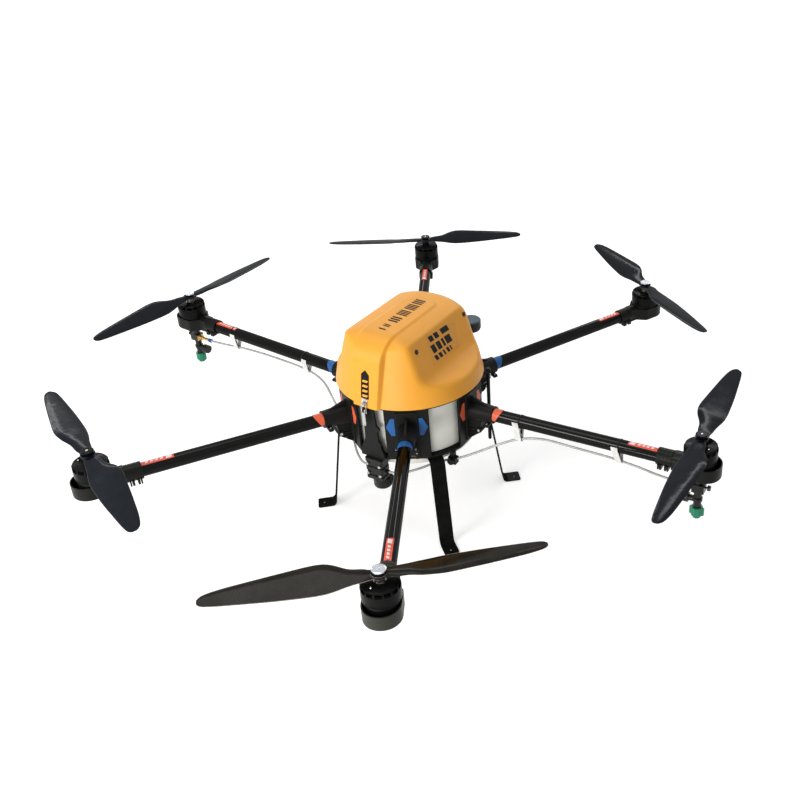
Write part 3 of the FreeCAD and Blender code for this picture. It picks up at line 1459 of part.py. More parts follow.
def build_electronics():
    base = upper_plate_top + clearance
    add("battery", rounded_case(battery_size, battery_centre_y, base))
    add("flight_controller", rounded_case(controller_size, controller_centre_y, base))
    add("gps_puck", turned(gps_puck(), puck_angle_deg).cut(cover_solid(0)))
    add("antenna", [turned(shape, antenna_angle_deg) for shape in antenna()])
    route = [turned(Part.Vertex(point), arm_angles[1]).Point for point in lead_route]
    add_cord("signal_lead", route, lead_diameter)
    parts["signal_lead"] = parts["signal_lead"].cut(parts["arm_bracket_2"])


os.makedirs("parts", exist_ok=True)
build_frame()
build_drives()
build_tank()
build_cover()
latch_base = build_latch()
leg_bolts = build_legs()
add("frame_screws", [parts["frame_screws"]] + leg_bolts)
build_spray()
build_pump(latch_base)
build_electronics()
for name, shape in parts.items():
    shape.exportStep("parts/%s.step" % name)
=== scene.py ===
"""Looks of the six-rotor crop-spraying drone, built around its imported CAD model."""
import math

import bpy
import numpy as np
from mathutils import Matrix, Vector


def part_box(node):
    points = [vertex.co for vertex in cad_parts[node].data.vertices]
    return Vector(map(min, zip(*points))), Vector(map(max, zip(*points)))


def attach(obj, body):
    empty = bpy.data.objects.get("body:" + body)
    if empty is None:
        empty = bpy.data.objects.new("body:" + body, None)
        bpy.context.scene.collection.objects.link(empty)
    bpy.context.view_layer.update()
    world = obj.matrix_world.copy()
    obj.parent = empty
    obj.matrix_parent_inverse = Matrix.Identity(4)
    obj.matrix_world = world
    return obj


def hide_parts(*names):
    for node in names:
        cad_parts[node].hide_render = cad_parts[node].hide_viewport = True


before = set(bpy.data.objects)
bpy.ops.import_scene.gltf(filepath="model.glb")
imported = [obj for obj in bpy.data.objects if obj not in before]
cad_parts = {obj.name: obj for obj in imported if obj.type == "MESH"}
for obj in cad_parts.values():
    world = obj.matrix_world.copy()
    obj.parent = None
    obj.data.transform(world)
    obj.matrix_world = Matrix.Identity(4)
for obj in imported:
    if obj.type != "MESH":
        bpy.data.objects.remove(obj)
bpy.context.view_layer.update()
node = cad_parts

# ---- sizes shared with the CAD source, in millimetres ----
MM = 0.001
arm_count = 6
motor_radius = 935.5
arm_axis_height = 435.16      # arm axis at the motor
arm_rise = math.radians(3.0)
tube_radius = 20.0
cover_rim = 478.3
cover_rim_radius = 229.0
cover_draft = 0.2126
cover_wall = 3.0
body_top = 676.3
cover_top = 680.3
nose_reach = 236.0
nose_draft = 0.18
front_round = 85.0
rear_round = 60.0
shoulder_start = 77.0
shoulder_edge = 111.0
shoulder_drop = 12.0
panel_foot = 150.0
panel_drop = 131.0
plug_drop = 38.0
plug_ends = (-126.0, 136.0)
bell_bottom = 25.5
bell_top = 71.0
bell_grooves = ((4.2, 5.4), (7.2, 7.9))   # above the bell's lower edge
adapter_low = 71.6            # between the bell and the adapter
stem_top = 90.0               # between the adapter's stem and its cap
cap_top = 104.0
propeller_turns = (92.9, -100.3, -85.9, -95.2, 97.5, -79.3)
hose_diameter = 8.0
lead_diameter = 3.0
inlet_reach = 68.0
inlet_z = -72.0
inlet_radius = 9.0
brass_start = 15.5            # the brass fitting's ends, inboard of the motor's axis
brass_end = 57.8
tie_distances = {1: (390, 705), 4: (430, 745)}
pump_front = -240.0

# ---- how the cover's faces run into each other, in millimetres ----
band_blend = 8.0              # between the round skirt and the raised band at the front
panel_fold = 12.0             # between the shoulder and the side panel
panel_blend = 12.0            # between the body and the side panel
shelf_run = 100.0             # the shelf below the panel falls by shelf_fall over this
shelf_fall = 27.0
shelf_blend = 26.0
nose_half_width = 50.0        # at the rim
nose_spread = 10.0            # and this much more at the top
nose_back = 106.0             # how far back over the top the nose's band runs
nose_corner = 30.0
nose_blend = 11.0

# ---- sizes of the trim that only the looks have, in millimetres ----
decal_lift = 0.35             # decals over the surface that they lie on
decal_depth = 0.6
panel_cast = 40.0             # decals are cast to the skin from this far beside the axis
nose_cast = 60.0              # and from this far in front of it
film_lift = 0.12              # the clear film under the panels' decals
bar_lean = 3.0                # how far the ends of a decal's bars lean
catch_lift = 3.2
catch_depth = 3.0
tape_width = 20.0
tape_thickness = 0.7
tape_lean = 7.0               # its top is this far inboard of the hose that it carries
tape_top = 6.0                # over the middle of the arm tube
tie_thickness = 1.2           # the hose's ties, which the tape goes round
tie_slack = 0.9
tape_gap = 0.2                # between the tape and a tie, under the hose
tape_side_gap = 0.3           # and beside the arm tube
label_start = -205.0          # along the arm, from the motor's axis
label_end = -119.0
label_half_angle = math.radians(27)
label_depth = 0.3
label_lift = 0.25
print_lift = 0.45             # the blocks and bars printed on a label
print_lean = 1.5
grub_place = (25, -17, bell_top)
cap_screw_place = (0, 0, cap_top - 0.1)
webbing_width = 20.0
webbing_thickness = 1.4
webbing_places = (-52, 52)
webbing_gap = 0.6             # between the webbing and the battery
fitting_border = -228.0       # the cover's fittings are steel in front of this
puck_border = 562.0           # the puck is black below this

# ---- colours ----
BLACK = (0.0055, 0.0055, 0.0052)
DEEP_BLACK = (0.0030, 0.0030, 0.0030)
ORANGE = (0.84, 0.365, 0.032)
MARKER_RED = (0.80, 0.14, 0.06)
MARKER_BLUE = (0.009, 0.11, 0.36)
LABEL_RED = (0.82, 0.075, 0.03)
WHITE = (0.80, 0.80, 0.78)
STEEL = (0.56, 0.56, 0.54)
BRASS = (0.62, 0.42, 0.16)
CAP_GREEN = (0.004, 0.20, 0.10)
FRAME_BLACK = (0.0060, 0.0060, 0.0055)
MOUNT_BLACK = (0.0070, 0.0072, 0.0060)
# the front motor's mount: the mounts' black made lighter, as painted light where the lamps fall on
# it
PAINTED_LIT_MOUNT = (0.032, 0.033, 0.025)
CATCH_BROWN = (0.010, 0.008, 0.006)
PUCK_BLUE = (0.045, 0.075, 0.11)
BATTERY_BLUE = (0.012, 0.016, 0.03)
INK = (0.006, 0.005, 0.005)
WEBBING = (0.01, 0.01, 0.01)
RUBBED_PLASTIC = (0.09, 0.09, 0.09)
# pale carbon along rubbed edges; on propeller 6 it also paints a highlight
RUBBED_CARBON_AND_HIGHLIGHT = (0.45, 0.44, 0.40)

# ---- widths of the carbon cloths' tows, in millimetres ----
tube_tow = 2.0
blade_tow = 1.6
leg_tow = 2.4

# ---- how fine the looks' noise is, in bumps per metre ----
mottling = 11.0
smudging = 38.0
fine_grain = 2600.0
brushing = 900.0
scuffing = 60.0
rippling = 13.0

# ---- camera and light, in metres and watts ----
camera_place = (1.3707, -1.8482, 1.8531)
camera_forward = (-0.4036, 0.7330, -0.5476)
camera_azimuth = math.radians(28.84)
camera_roll = math.radians(-0.87)
camera_lens = 38.42
camera_shift = -0.1375
floor_size = 40.0
fill_light = 0.36             # the surroundings' light on the object
seen_light = 1.0              # and what the camera and reflections see
lamp_aim = (0, 0, 0.45)
warm = (1.0, 0.98, 0.95)
neutral = (1.0, 1.0, 1.0)
# name, place, target, width and height, power, colour
lamps = (
    ("key", (-1.1, -3.3, 1.9), lamp_aim, (1.2, 1.2), 73, warm),
    ("low_fill", (0.5, -3.4, 0.3), (0, 0, 0.3), (1.8, 0.5), 46, neutral),
    ("strip", (-3.0, 1.6, 2.1), lamp_aim, (4.0, 0.14), 16, neutral),
    ("rim", (0.3, 3.0, 2.7), lamp_aim, (3.6, 0.28), 28, neutral),
    ("top", (-0.9, -0.2, 4.2), lamp_aim, (2.0, 2.0), 40, neutral),
)


# ---- camera, floor and light ----
def link(made):
    bpy.context.scene.collection.objects.link(made)


def make_camera():
    """Puts the camera where the photograph was taken from."""
    forward = Vector(camera_forward).normalized()
    level = Vector((math.cos(camera_azimuth), math.sin(camera_azimuth), 0))
    down = forward.cross(level)
    across = level * math.cos(camera_roll) - down * math.sin(camera_roll)
    up = -(level * math.sin(camera_roll) + down * math.cos(camera_roll))
    data = bpy.data.cameras.new("camera")
    data.lens = camera_lens
    data.sensor_width = 36
    data.shift_x = camera_shift
    data.clip_end = 100
    camera = bpy.data.objects.new("camera", data)
    turn = Matrix((across, up, -forward)).transposed().to_4x4()
    camera.matrix_world = Matrix.Translation(camera_place) @ turn
    link(camera)
    bpy.context.scene.camera = camera


def make_lamp(name, place, target, size, power, colour):
    """A soft lamp at a place, turned to a target."""
    data = bpy.data.lights.new(name, "AREA")
    data.shape = "RECTANGLE"
    data.size, data.size_y = size
    data.energy = power
    data.color = colour
    lamp = bpy.data.objects.new(name, data)
    lamp.location = place
    lamp.rotation_euler = (Vector(target) - Vector(place)).to_track_quat("-Z", "Y").to_euler()
    link(lamp)


def scaled(colour, factor):
    return tuple(min(1.0, part * factor) for part in colour)


class Nodes:
    """A material's node tree, built with short calls."""

    def __init__(self, name):
        self.material = bpy.data.materials.new(name)
        self.material.use_nodes = True
        self.tree = self.material.node_tree
        self.tree.nodes.clear()
        self.shader = self.add("ShaderNodeBsdfPrincipled")
        self.add("ShaderNodeOutputMaterial", Surface=self.shader.outputs[0])
        self.place = self.add("ShaderNodeTexCoord").outputs["Object"]

    def add(self, kind, settings=None, **inputs):
        """Adds a node; inputs are numbers, colours or other nodes' sockets, by input name."""
        made = self.tree.nodes.new(kind)
        for key, value in (settings or {}).items():
            setattr(made, key, value)
        for key, value in inputs.items():
            self.feed(made.inputs[key.replace("_", " ")], value)
        return made

    def feed(self, socket, value):
        if isinstance(value, bpy.types.Node):
            value = value.outputs[0]
        if isinstance(value, bpy.types.NodeSocket):
            self.tree.links.new(value, socket)
        elif isinstance(value, tuple) and len(value) == 3 and socket.type == "RGBA":
            socket.default_value = value + (1,)
        else:
            socket.default_value = value

    def math(self, operation, first, second=0.0, third=0.0):
        made = self.tree.nodes.new("ShaderNodeMath")
        made.operation = operation
        for socket, value in zip(made.inputs, (first, second, third)):
            self.feed(socket, value)
        return made.outputs[0]

    def axes(self, vector):
        return self.add("ShaderNodeSeparateXYZ", Vector=vector).outputs

    def noise(self, scale, detail=2.0, where=None, roughness=0.5):
        """Noise of 0 to 1; scale is in bumps per unit of the place, a metre by itself."""
        made = self.add("ShaderNodeTexNoise", Vector=where or self.place, Scale=scale,
                        Detail=detail, Roughness=roughness)
        return made.outputs[0]

    def between(self, value, low, high, start=0.0, end=1.0):
        """Maps a value from low..high onto start..end, held at the ends."""
        made = self.add("ShaderNodeMapRange", {"clamp": True}, Value=value)
        made.inputs["From Min"].default_value = low
        made.inputs["From Max"].default_value = high
        made.inputs["To Min"].default_value = start
        made.inputs["To Max"].default_value = end
        return made.outputs[0]

    def patches(self, scale, detail=4.0, start=0.0, end=1.0):
        """Soft patches that run between two values; scale is in bumps per metre."""
        return self.between(self.noise(scale, detail), 0.3, 0.7, start, end)

    def inside(self, value, low, high):
        """1 where a value is between two limits, else 0."""
        over = self.math("GREATER_THAN", value, low)
        return self.math("MULTIPLY", over, self.math("LESS_THAN", value, high))

    def mix(self, share, first, second):
        made = self.tree.nodes.new("ShaderNodeMix")
        made.data_type = "RGBA"
        for number, value in ((0, share), (6, first), (7, second)):
            self.feed(made.inputs[number], value)
        return made.outputs[2]

    def blend(self, share, first, second):
        """A number between two others."""
        made = self.tree.nodes.new("ShaderNodeMix")
        for number, value in ((0, share), (2, first), (3, second)):
            self.feed(made.inputs[number], value)
        return made.outputs[0]

    def bump(self, height, depth, strength=1.0, normal=None):
        """Bump whose height of 0 to 1 stands for a depth in metres."""
        made = self.add("ShaderNodeBump", Height=height, Distance=depth, Strength=strength)
        if normal is not None:
            self.feed(made.inputs["Normal"], normal)
        return made.outputs[0]

    def soft_edges(self, radius):
        return self.add("ShaderNodeBevel", {"samples": 4}, Radius=radius).outputs[0]

    def worn_edges(self, radius):
        """Wear of 0 on flat faces to 1 on sharp edges, broken up by noise; on propeller 6 it also
        carries a painted highlight.
        """
        facing = self.add("ShaderNodeVectorMath", {"operation": "DOT_PRODUCT"})
        self.feed(facing.inputs[0], self.soft_edges(radius))
        self.feed(facing.inputs[1], self.add("ShaderNodeNewGeometry").outputs["Normal"])
        edge = self.math("SUBTRACT", 1.0, facing.outputs["Value"])
        patchy = self.math("MULTIPLY", edge, self.noise(2 * scuffing, 3.0))
        untouched, rubbed = 0.03, 0.16
        return self.between(patchy, untouched, rubbed)

    def set(self, **inputs):
        for key, value in inputs.items():
            self.feed(self.shader.inputs[key.replace("_", " ")], value)
        return self.material


def make_floor():
    """Pale floor that looks white and still shows the object's shadow."""
    mesh = bpy.data.meshes.new("floor")
    corners = [(x * floor_size, y * floor_size, 0) for x, y in ((-1, -1), (1, -1), (1, 1), (-1, 1))]
    mesh.from_pydata(corners, [], [(0, 1, 2, 3)])
    floor = bpy.data.objects.new("floor", mesh)
    link(floor)
    nodes = Nodes("floor")
    path = nodes.add("ShaderNodeLightPath").outputs
    seen = nodes.math("MAXIMUM", path["Is Camera Ray"],
                      nodes.math("MAXIMUM", path["Is Glossy Ray"], path["Is Transmission Ray"]))
    reach = nodes.add("ShaderNodeVectorMath", {"operation": "LENGTH"}, Vector=nodes.place)
    near, far = 0.8, 4.0
    glow = nodes.between(reach.outputs["Value"], near, far, 0.46, 0.78)
    nodes.set(Base_Color=nodes.mix(nodes.noise(3.0), (0.80, 0.80, 0.80), (0.84, 0.84, 0.84)),
              Roughness=0.9, Specular_IOR_Level=0.1, Emission_Color=(1, 1, 1),
              Emission_Strength=nodes.math("MULTIPLY", seen, glow))
    mesh.materials.append(nodes.material)


def make_world():
    """White surroundings for the camera and for reflections, and a soft fill for the rest."""
    world = bpy.data.worlds.new("studio")
    bpy.context.scene.world = world
    world.use_nodes = True
    tree = world.node_tree
    path = tree.nodes.new("ShaderNodeLightPath").outputs
    share = path["Is Camera Ray"]
    for name in ("Is Glossy Ray", "Is Transmission Ray"):
        most = tree.nodes.new("ShaderNodeMath")
        most.operation = "MAXIMUM"
        tree.links.new(share, most.inputs[0])
        tree.links.new(path[name], most.inputs[1])
        share = most.outputs[0]
    strength = tree.nodes.new("ShaderNodeMapRange")
    strength.inputs["To Min"].default_value = fill_light
    strength.inputs["To Max"].default_value = seen_light
    tree.links.new(share, strength.inputs["Value"])
    background = tree.nodes["Background"]
    background.inputs["Color"].default_value = (1, 1, 1, 1)
    tree.links.new(strength.outputs[0], background.inputs["Strength"])


def make_studio():
    make_floor()
    make_world()
    for lamp in lamps:
        make_lamp(*lamp)
    bpy.context.scene.view_settings.view_transform = "Standard"


# ---- places and meshes ----
def arm_matrix(number):
    """From the own frame of arm 1 to 6 (origin on the motor axis, mm) to the part's frame."""
    turn = Matrix.Rotation(2 * math.pi / arm_count * (number - 1), 4, "Z")
    out = Matrix.Translation((motor_radius, 0, arm_axis_height))
    return turn @ out @ Matrix.Rotation(-arm_rise, 4, "Y")


def blade_matrix(number):
    """From a propeller's own frame, with its blades along X, to the part's frame."""
    return arm_matrix(number) @ Matrix.Rotation(math.radians(propeller_turns[number - 1]), 4, "Z")


def own_space(nodes, matrix):
    """The place on the surface in another frame, in millimetres."""
    back = matrix.inverted()
    made = nodes.add("ShaderNodeMapping", Vector=nodes.place)
    made.inputs["Scale"].default_value = (1 / MM,) * 3
    made.inputs["Rotation"].default_value = back.to_euler()
    made.inputs["Location"].default_value = back.translation
    return made.outputs[0]


def piece(name, points, faces, material, body, smooth=True):
    """A mesh from points in millimetres, riding on a CAD body."""
    mesh = bpy.data.meshes.new(name)
    mesh.from_pydata([tuple(float(v) * MM for v in point) for point in points], [], faces)
    mesh.validate()
    mesh.materials.append(material)
    for polygon in mesh.polygons:
        polygon.use_smooth = smooth
    made = bpy.data.objects.new(name, mesh)
    link(made)
    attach(made, body)
    return made


def grid_faces(rows, columns, closed, first=0):
    """Quads between neighbouring rows of a grid; closed joins the last column to the first."""
    faces = []
    for row in range(rows - 1):
        for column in range(columns if closed else columns - 1):
            after = (column + 1) % columns
            low = first + row * columns
            high = low + columns
            faces.append((low + column, low + after, high + after, high + column))
    return faces


def lathe(name, profile, matrix, material, body, sides=24):
    """A turned piece: its (radius, height) profile round the Z axis of a frame."""
    points = []
    for radius, height in profile:
        for number in range(sides):
            turn = 2 * math.pi * number / sides
            point = Vector((radius * math.cos(turn), radius * math.sin(turn), height))
            points.append(matrix @ point)
    return piece(name, points, grid_faces(len(profile), sides, True), material, body)


def thick_sheet(name, front, back, rows, columns, material, body, slot):
    """A closed sheet from two grids of points, its front and its back."""
    faces = grid_faces(rows, columns, False)
    shift = rows * columns
    faces += [face[::-1] for face in grid_faces(rows, columns, False, shift)]
    rim = list(range(columns))
    rim += [row * columns + columns - 1 for row in range(1, rows)]
    rim += [(rows - 1) * columns + column for column in range(columns - 2, -1, -1)]
    rim += [row * columns for row in range(rows - 2, 0, -1)]
    for here, after in zip(rim, rim[1:] + rim[:1]):
        faces.append((after, here, shift + here, shift + after))
    return piece(name, list(front) + list(back), faces, material, body, False)


# ---- materials ----
def fixed(nodes, specular=None, coat_roughness=None):
    """Values that are the same all over, set on the shader's own sockets."""
    if specular is not None:
        nodes.shader.inputs["Specular IOR Level"].default_value = specular
    if coat_roughness is not None:
        nodes.shader.inputs["Coat Roughness"].default_value = coat_roughness
    return nodes.material


def plastic(name, colour, roughness=0.42, grain=0.00005, variation=0.12, edge=0.0006, wear=0.0,
            specular=0.4, coat=0.0):
    """Moulded plastic: faint mottling, smudges, fine grain, soft edges and rubbed corners."""
    nodes = Nodes(name)
    patches = nodes.patches(mottling)
    shade = nodes.mix(patches, scaled(colour, 1 - variation), scaled(colour, 1 + variation))
    if wear:
        worn = nodes.math("MULTIPLY", nodes.worn_edges(edge * 2), wear)
        shade = nodes.mix(worn, shade, RUBBED_PLASTIC)
    smudges = nodes.between(nodes.noise(smudging, 5.0, roughness=0.6), 0.3, 0.75)
    rough = nodes.between(smudges, 0.0, 1.0, roughness - 0.06, roughness + 0.08)
    normal = nodes.bump(nodes.noise(fine_grain, 2.0), grain, 0.6, nodes.soft_edges(edge))
    nodes.set(Base_Color=shade, Roughness=rough, Normal=normal, Coat_Weight=coat)
    return fixed(nodes, specular, 0.08)


def metal(name, colour=STEEL, roughness=0.22):
    """Plated or turned metal with fine brushing and dull patches."""
    nodes = Nodes(name)
    lines = nodes.noise(brushing, 3.0)
    rough = nodes.patches(70.0, 4.0, roughness - 0.06, roughness + 0.10)
    normal = nodes.bump(lines, 0.00002, 0.5, nodes.soft_edges(0.0003))
    return nodes.set(Base_Color=nodes.mix(lines, scaled(colour, 0.85), colour), Metallic=1.0,
                     Roughness=rough, Normal=normal)


def weave(nodes, first, second, tow):
    """2x2 twill in two directions: its height of 0 to 1, and which direction is on top."""
    first = nodes.math("DIVIDE", first, tow)
    second = nodes.math("DIVIDE", second, tow)
    step = nodes.math("ADD", nodes.math("FLOOR", first), nodes.math("FLOOR", second))
    over = nodes.math("LESS_THAN", nodes.math("FLOORED_MODULO", step, 4.0), 1.5)
    bulges = []
    for value in (first, second):
        centred = nodes.math("MULTIPLY_ADD", nodes.math("FRACT", value), 2.0, -1.0)
        bulges.append(nodes.math("SUBTRACT", 1.0, nodes.math("MULTIPLY", centred, centred)))
    return nodes.blend(over, bulges[1], bulges[0]), over


def carbon_look(nodes, first, second, tow, low, high, coat, roughness=0.34, edge=0.0,
                coat_roughness=0.05):
    """Carbon cloth of two shades under rippled lacquer; edge lightens the rubbed edges, and on
    propeller 6 this lightening is also a painted highlight.
    """
    height, over = weave(nodes, first, second, tow)
    clouds = nodes.between(nodes.noise(22.0, 5.0, roughness=0.65), 0.35, 0.65)
    shade = nodes.mix(over, nodes.mix(clouds, scaled(low, 0.6), scaled(low, 1.3)),
                      nodes.mix(clouds, scaled(high, 0.6), scaled(high, 1.25)))
    shade = nodes.mix(nodes.between(height, 0.0, 0.6), scaled(low, 0.5), shade)
    if edge:
        # edge lightening: rubbed wear, and on propeller 6 also a painted highlight
        worn = nodes.math("MULTIPLY", nodes.worn_edges(0.0016), edge)
        shade = nodes.mix(worn, shade, RUBBED_CARBON_AND_HIGHLIGHT)
    scuffs = nodes.noise(scuffing, 5.0, roughness=0.65)
    rough = nodes.between(scuffs, 0.35, 0.7, roughness - 0.05, roughness + 0.08)
    ripples = nodes.bump(nodes.noise(rippling, 1.0), 0.0007, 0.6)
    nodes.set(Base_Color=shade, Roughness=rough, Normal=nodes.bump(height, 0.00006, 0.5, ripples),
              Coat_Weight=coat, Coat_Normal=ripples)
    return fixed(nodes, 0.0, coat_roughness)


def tube_carbon(number):
    nodes = Nodes("tube_carbon_%d" % number)
    x, y, z = nodes.axes(own_space(nodes, arm_matrix(number)))
    around = nodes.math("MULTIPLY", nodes.math("ARCTAN2", z, y), tube_radius)
    low = scaled(DEEP_BLACK, 0.6)
    high = (0.0055, 0.005, 0.0042)
    return carbon_look(nodes, x, around, tube_tow, low, high, 0.26)


# shades of the two directions of the blades' cloth, weight of the coat, wear of the edges; the
# shades' blue tint is a painted reflection, and propeller 6's lighter warm shades and strong edge
# wear are painted light
blade_looks_with_painted_light = {
    1: ((0.003, 0.005, 0.009), (0.006, 0.010, 0.017), 0.22, 0.12),
    5: ((0.003, 0.006, 0.010), (0.006, 0.011, 0.019), 0.28, 0.12),
    6: ((0.012, 0.0115, 0.0085), (0.026, 0.023, 0.0155), 0.20, 0.9),
}
plain_blade_with_painted_reflection = ((0.003, 0.005, 0.0075), (0.007, 0.010, 0.014), 0.24, 0.15)


def blade_carbon(number):
    nodes = Nodes("blade_carbon_%d" % number)
    x, y, _ = nodes.axes(own_space(nodes, blade_matrix(number)))
    # the shades' blue tint is a painted reflection; propeller 6's lighter shades and strong edge
    # lightening are a painted highlight
    low, high, coat, edge = blade_looks_with_painted_light.get(number, plain_blade_with_painted_reflection)
    return carbon_look(nodes, x, y, blade_tow, low, high, coat, 0.30, edge, 0.12)


def leg_carbon():
    nodes = Nodes("leg_carbon")
    x, y, z = nodes.axes(nodes.place)
    along = nodes.math("MULTIPLY", nodes.math("ADD", x, z), 1 / MM)
    across = nodes.math("MULTIPLY", nodes.math("ADD", y, z), 1 / MM)
    low = (0.004, 0.004, 0.004)
    high = (0.012, 0.012, 0.010)
    return carbon_look(nodes, along, across, leg_tow, low, high, 0.03, 0.42, 0.2)


def rotor_look(number):
    """Lacquered bell with turned rings, and the propeller adapter above it."""
    nodes = Nodes("rotor_%d_finish" % number)
    x, y, z = nodes.axes(own_space(nodes, arm_matrix(number)))
    adapter = nodes.math("GREATER_THAN", z, adapter_low)
    silver = number % 2 == 0
    reach = nodes.math("SQRT", nodes.math("ADD", nodes.math("MULTIPLY", x, x),
                                          nodes.math("MULTIPLY", y, y)))
    turning = nodes.noise(2.2, 3.0, nodes.add("ShaderNodeCombineXYZ", X=reach, Y=z))
    rings = nodes.between(turning, 0.3, 0.7)
    bell = nodes.mix(rings, DEEP_BLACK, scaled(BLACK, 1.5))
    stem = nodes.mix(rings, (0.24, 0.22, 0.20), (0.40, 0.38, 0.35))
    cap = nodes.mix(rings, (0.42, 0.45, 0.50), (0.60, 0.62, 0.66))
    cap = nodes.mix(nodes.math("GREATER_THAN", z, stem_top), stem, cap)
    if not silver:
        cap = BLACK
    wide, narrow = ((bell_bottom + low, bell_bottom + high) for low, high in bell_grooves)
    groove = nodes.math("MAXIMUM", nodes.inside(z, *wide), nodes.inside(z, *narrow))
    # the grooves are painted near-black: painted shade in their recesses
    shade = nodes.mix(groove, nodes.mix(adapter, bell, cap), (0.001, 0.001, 0.001))
    depth = nodes.math("SUBTRACT", nodes.math("MULTIPLY", turning, 0.2), groove)
    nodes.set(Base_Color=shade, Normal=nodes.bump(depth, 0.0003, 0.5, nodes.soft_edges(0.0007)),
              Roughness=nodes.patches(50.0, 5.0, 0.20, 0.34), Coat_Weight=0.04,
              Metallic=nodes.math("MULTIPLY", adapter, 1.0 if silver else 0.0))
    return fixed(nodes, 0.04, 0.08)


def nozzle_look(number):
    """Black nozzle body with a brass fitting and the hose's blue push-in collar."""
    nodes = Nodes("nozzle_%d_finish" % number)
    x, _, z = nodes.axes(own_space(nodes, arm_matrix(number)))
    level = nodes.inside(z, inlet_z - inlet_radius, inlet_z + inlet_radius)
    brass = nodes.math("MULTIPLY", level, nodes.inside(x, -brass_end, -brass_start))
    collar = nodes.math("MULTIPLY", level, nodes.math("LESS_THAN", x, -brass_end))
    patches = nodes.patches(40.0)
    black = nodes.mix(patches, DEEP_BLACK, scaled(BLACK, 1.5))
    shade = nodes.mix(collar, nodes.mix(brass, black, BRASS), MARKER_BLUE)
    threads = nodes.math("PINGPONG", x, 0.7)
    height = nodes.math("MULTIPLY", nodes.math("MULTIPLY", threads, brass), 0.6)
    nodes.set(Base_Color=shade, Metallic=brass, Roughness=nodes.between(patches, 0, 1, 0.28, 0.42),
              Normal=nodes.bump(height, 0.0004, 0.5, nodes.soft_edges(0.0006)))
    return fixed(nodes, 0.25)


def marker_look():
    """Coloured markers: orange on every other arm, blue between them."""
    nodes = Nodes("arm_marker_colours")
    x, y, _ = nodes.axes(nodes.place)
    sector = nodes.math("ADD", nodes.math("ARCTAN2", y, x), math.pi / arm_count)
    sector = nodes.math("FLOOR", nodes.math("DIVIDE", sector, 2 * math.pi / arm_count))
    blue = nodes.math("GREATER_THAN", nodes.math("FLOORED_MODULO", sector, 2.0), 0.5)
    patches = nodes.patches(30.0)
    red = nodes.mix(patches, scaled(MARKER_RED, 0.86), MARKER_RED)
    shade = nodes.mix(blue, red, nodes.mix(patches, scaled(MARKER_BLUE, 0.86), MARKER_BLUE))
    nodes.set(Base_Color=shade, Roughness=nodes.between(patches, 0, 1, 0.34, 0.46),
              Normal=nodes.bump(nodes.noise(2200.0), 0.00003, 0.5, nodes.soft_edges(0.0004)))
    return fixed(nodes, 0.35)


def split_look(name, axis, edge, below, above, metal_below=False):
    """Two colours with a border across one axis, at a place in millimetres."""
    nodes = Nodes(name)
    value = nodes.math("MULTIPLY", nodes.axes(nodes.place)[axis], 1 / MM)
    low = nodes.math("LESS_THAN", value, edge)
    patches = nodes.patches(45.0)
    shade = nodes.mix(low, nodes.mix(patches, scaled(above, 0.8), scaled(above, 1.2)),
                      nodes.mix(patches, scaled(below, 0.9), below))
    nodes.set(Base_Color=shade, Metallic=nodes.math("MULTIPLY", low, float(metal_below)),
              Roughness=nodes.between(patches, 0, 1, 0.26, 0.42),
              Normal=nodes.bump(nodes.noise(1800.0), 0.00004, 0.5, nodes.soft_edges(0.0006)))
    return fixed(nodes, 0.25)


def tank_look():
    """Milky moulded plastic with a few long ripples, greyer towards its foot."""
    nodes = Nodes("tank_plastic")
    z = nodes.axes(nodes.place)["Z"]
    clouds = nodes.patches(5.0, 3.0)
    shade = nodes.mix(clouds, (0.74, 0.73, 0.66), (0.82, 0.81, 0.74))
    height = nodes.math("ADD", z, nodes.math("MULTIPLY", clouds, 0.02))
    foot = nodes.between(height, 0.30, 0.37, 1, 0)
    shade = nodes.mix(nodes.math("MULTIPLY", foot, 0.15), shade, (0.5, 0.5, 0.46))
    ripples = nodes.bump(nodes.noise(7.0, 2.0), 0.003, 0.6, nodes.soft_edges(0.0025))
    nodes.set(Base_Color=shade, Roughness=nodes.patches(50.0, 5.0, 0.30, 0.44),
              Normal=nodes.bump(nodes.noise(900.0), 0.00006, 0.5, ripples))
    return fixed(nodes, 0.35)


def clear_hose():
    """Clear hose that looks milky, with a darker wet bore and a painted reflection on its sides."""
    nodes = Nodes("clear_hose")
    patches = nodes.patches(45.0, 3.0)
    facing = nodes.add("ShaderNodeLayerWeight", Blend=0.35).outputs["Facing"]
    bore = nodes.mix(patches, (0.36, 0.37, 0.35), (0.50, 0.51, 0.49))
    # paler where the hose turns edge-on to the view: a painted reflection
    shade = nodes.mix(nodes.between(facing, 0.25, 0.75), bore, (0.80, 0.80, 0.78))
    nodes.set(Base_Color=shade, Roughness=nodes.between(patches, 0, 1, 0.16, 0.28), Coat_Weight=0.4)
    nodes.shader.inputs["Transmission Weight"].default_value = 0.12
    nodes.shader.inputs["IOR"].default_value = 1.4
    return fixed(nodes, None, 0.1)


def orange_shell():
    """Painted cover: slight orange peel, fine grain, soft clouds and smudges."""
    nodes = Nodes("cover_orange")
    patches = nodes.patches(7.0)
    shade = nodes.mix(patches, scaled(ORANGE, 0.96), scaled(ORANGE, 1.03))
    smudges = nodes.noise(24.0, 6.0, roughness=0.62)
    rough = nodes.between(smudges, 0.3, 0.75, 0.36, 0.50)
    peel = nodes.bump(nodes.noise(420.0, 3.0), 0.00010, 0.35)
    grain = nodes.bump(nodes.noise(2400.0, 2.0), 0.00003, 0.4, peel)
    nodes.set(Base_Color=shade, Roughness=rough, Normal=grain)
    return fixed(nodes, 0.32)


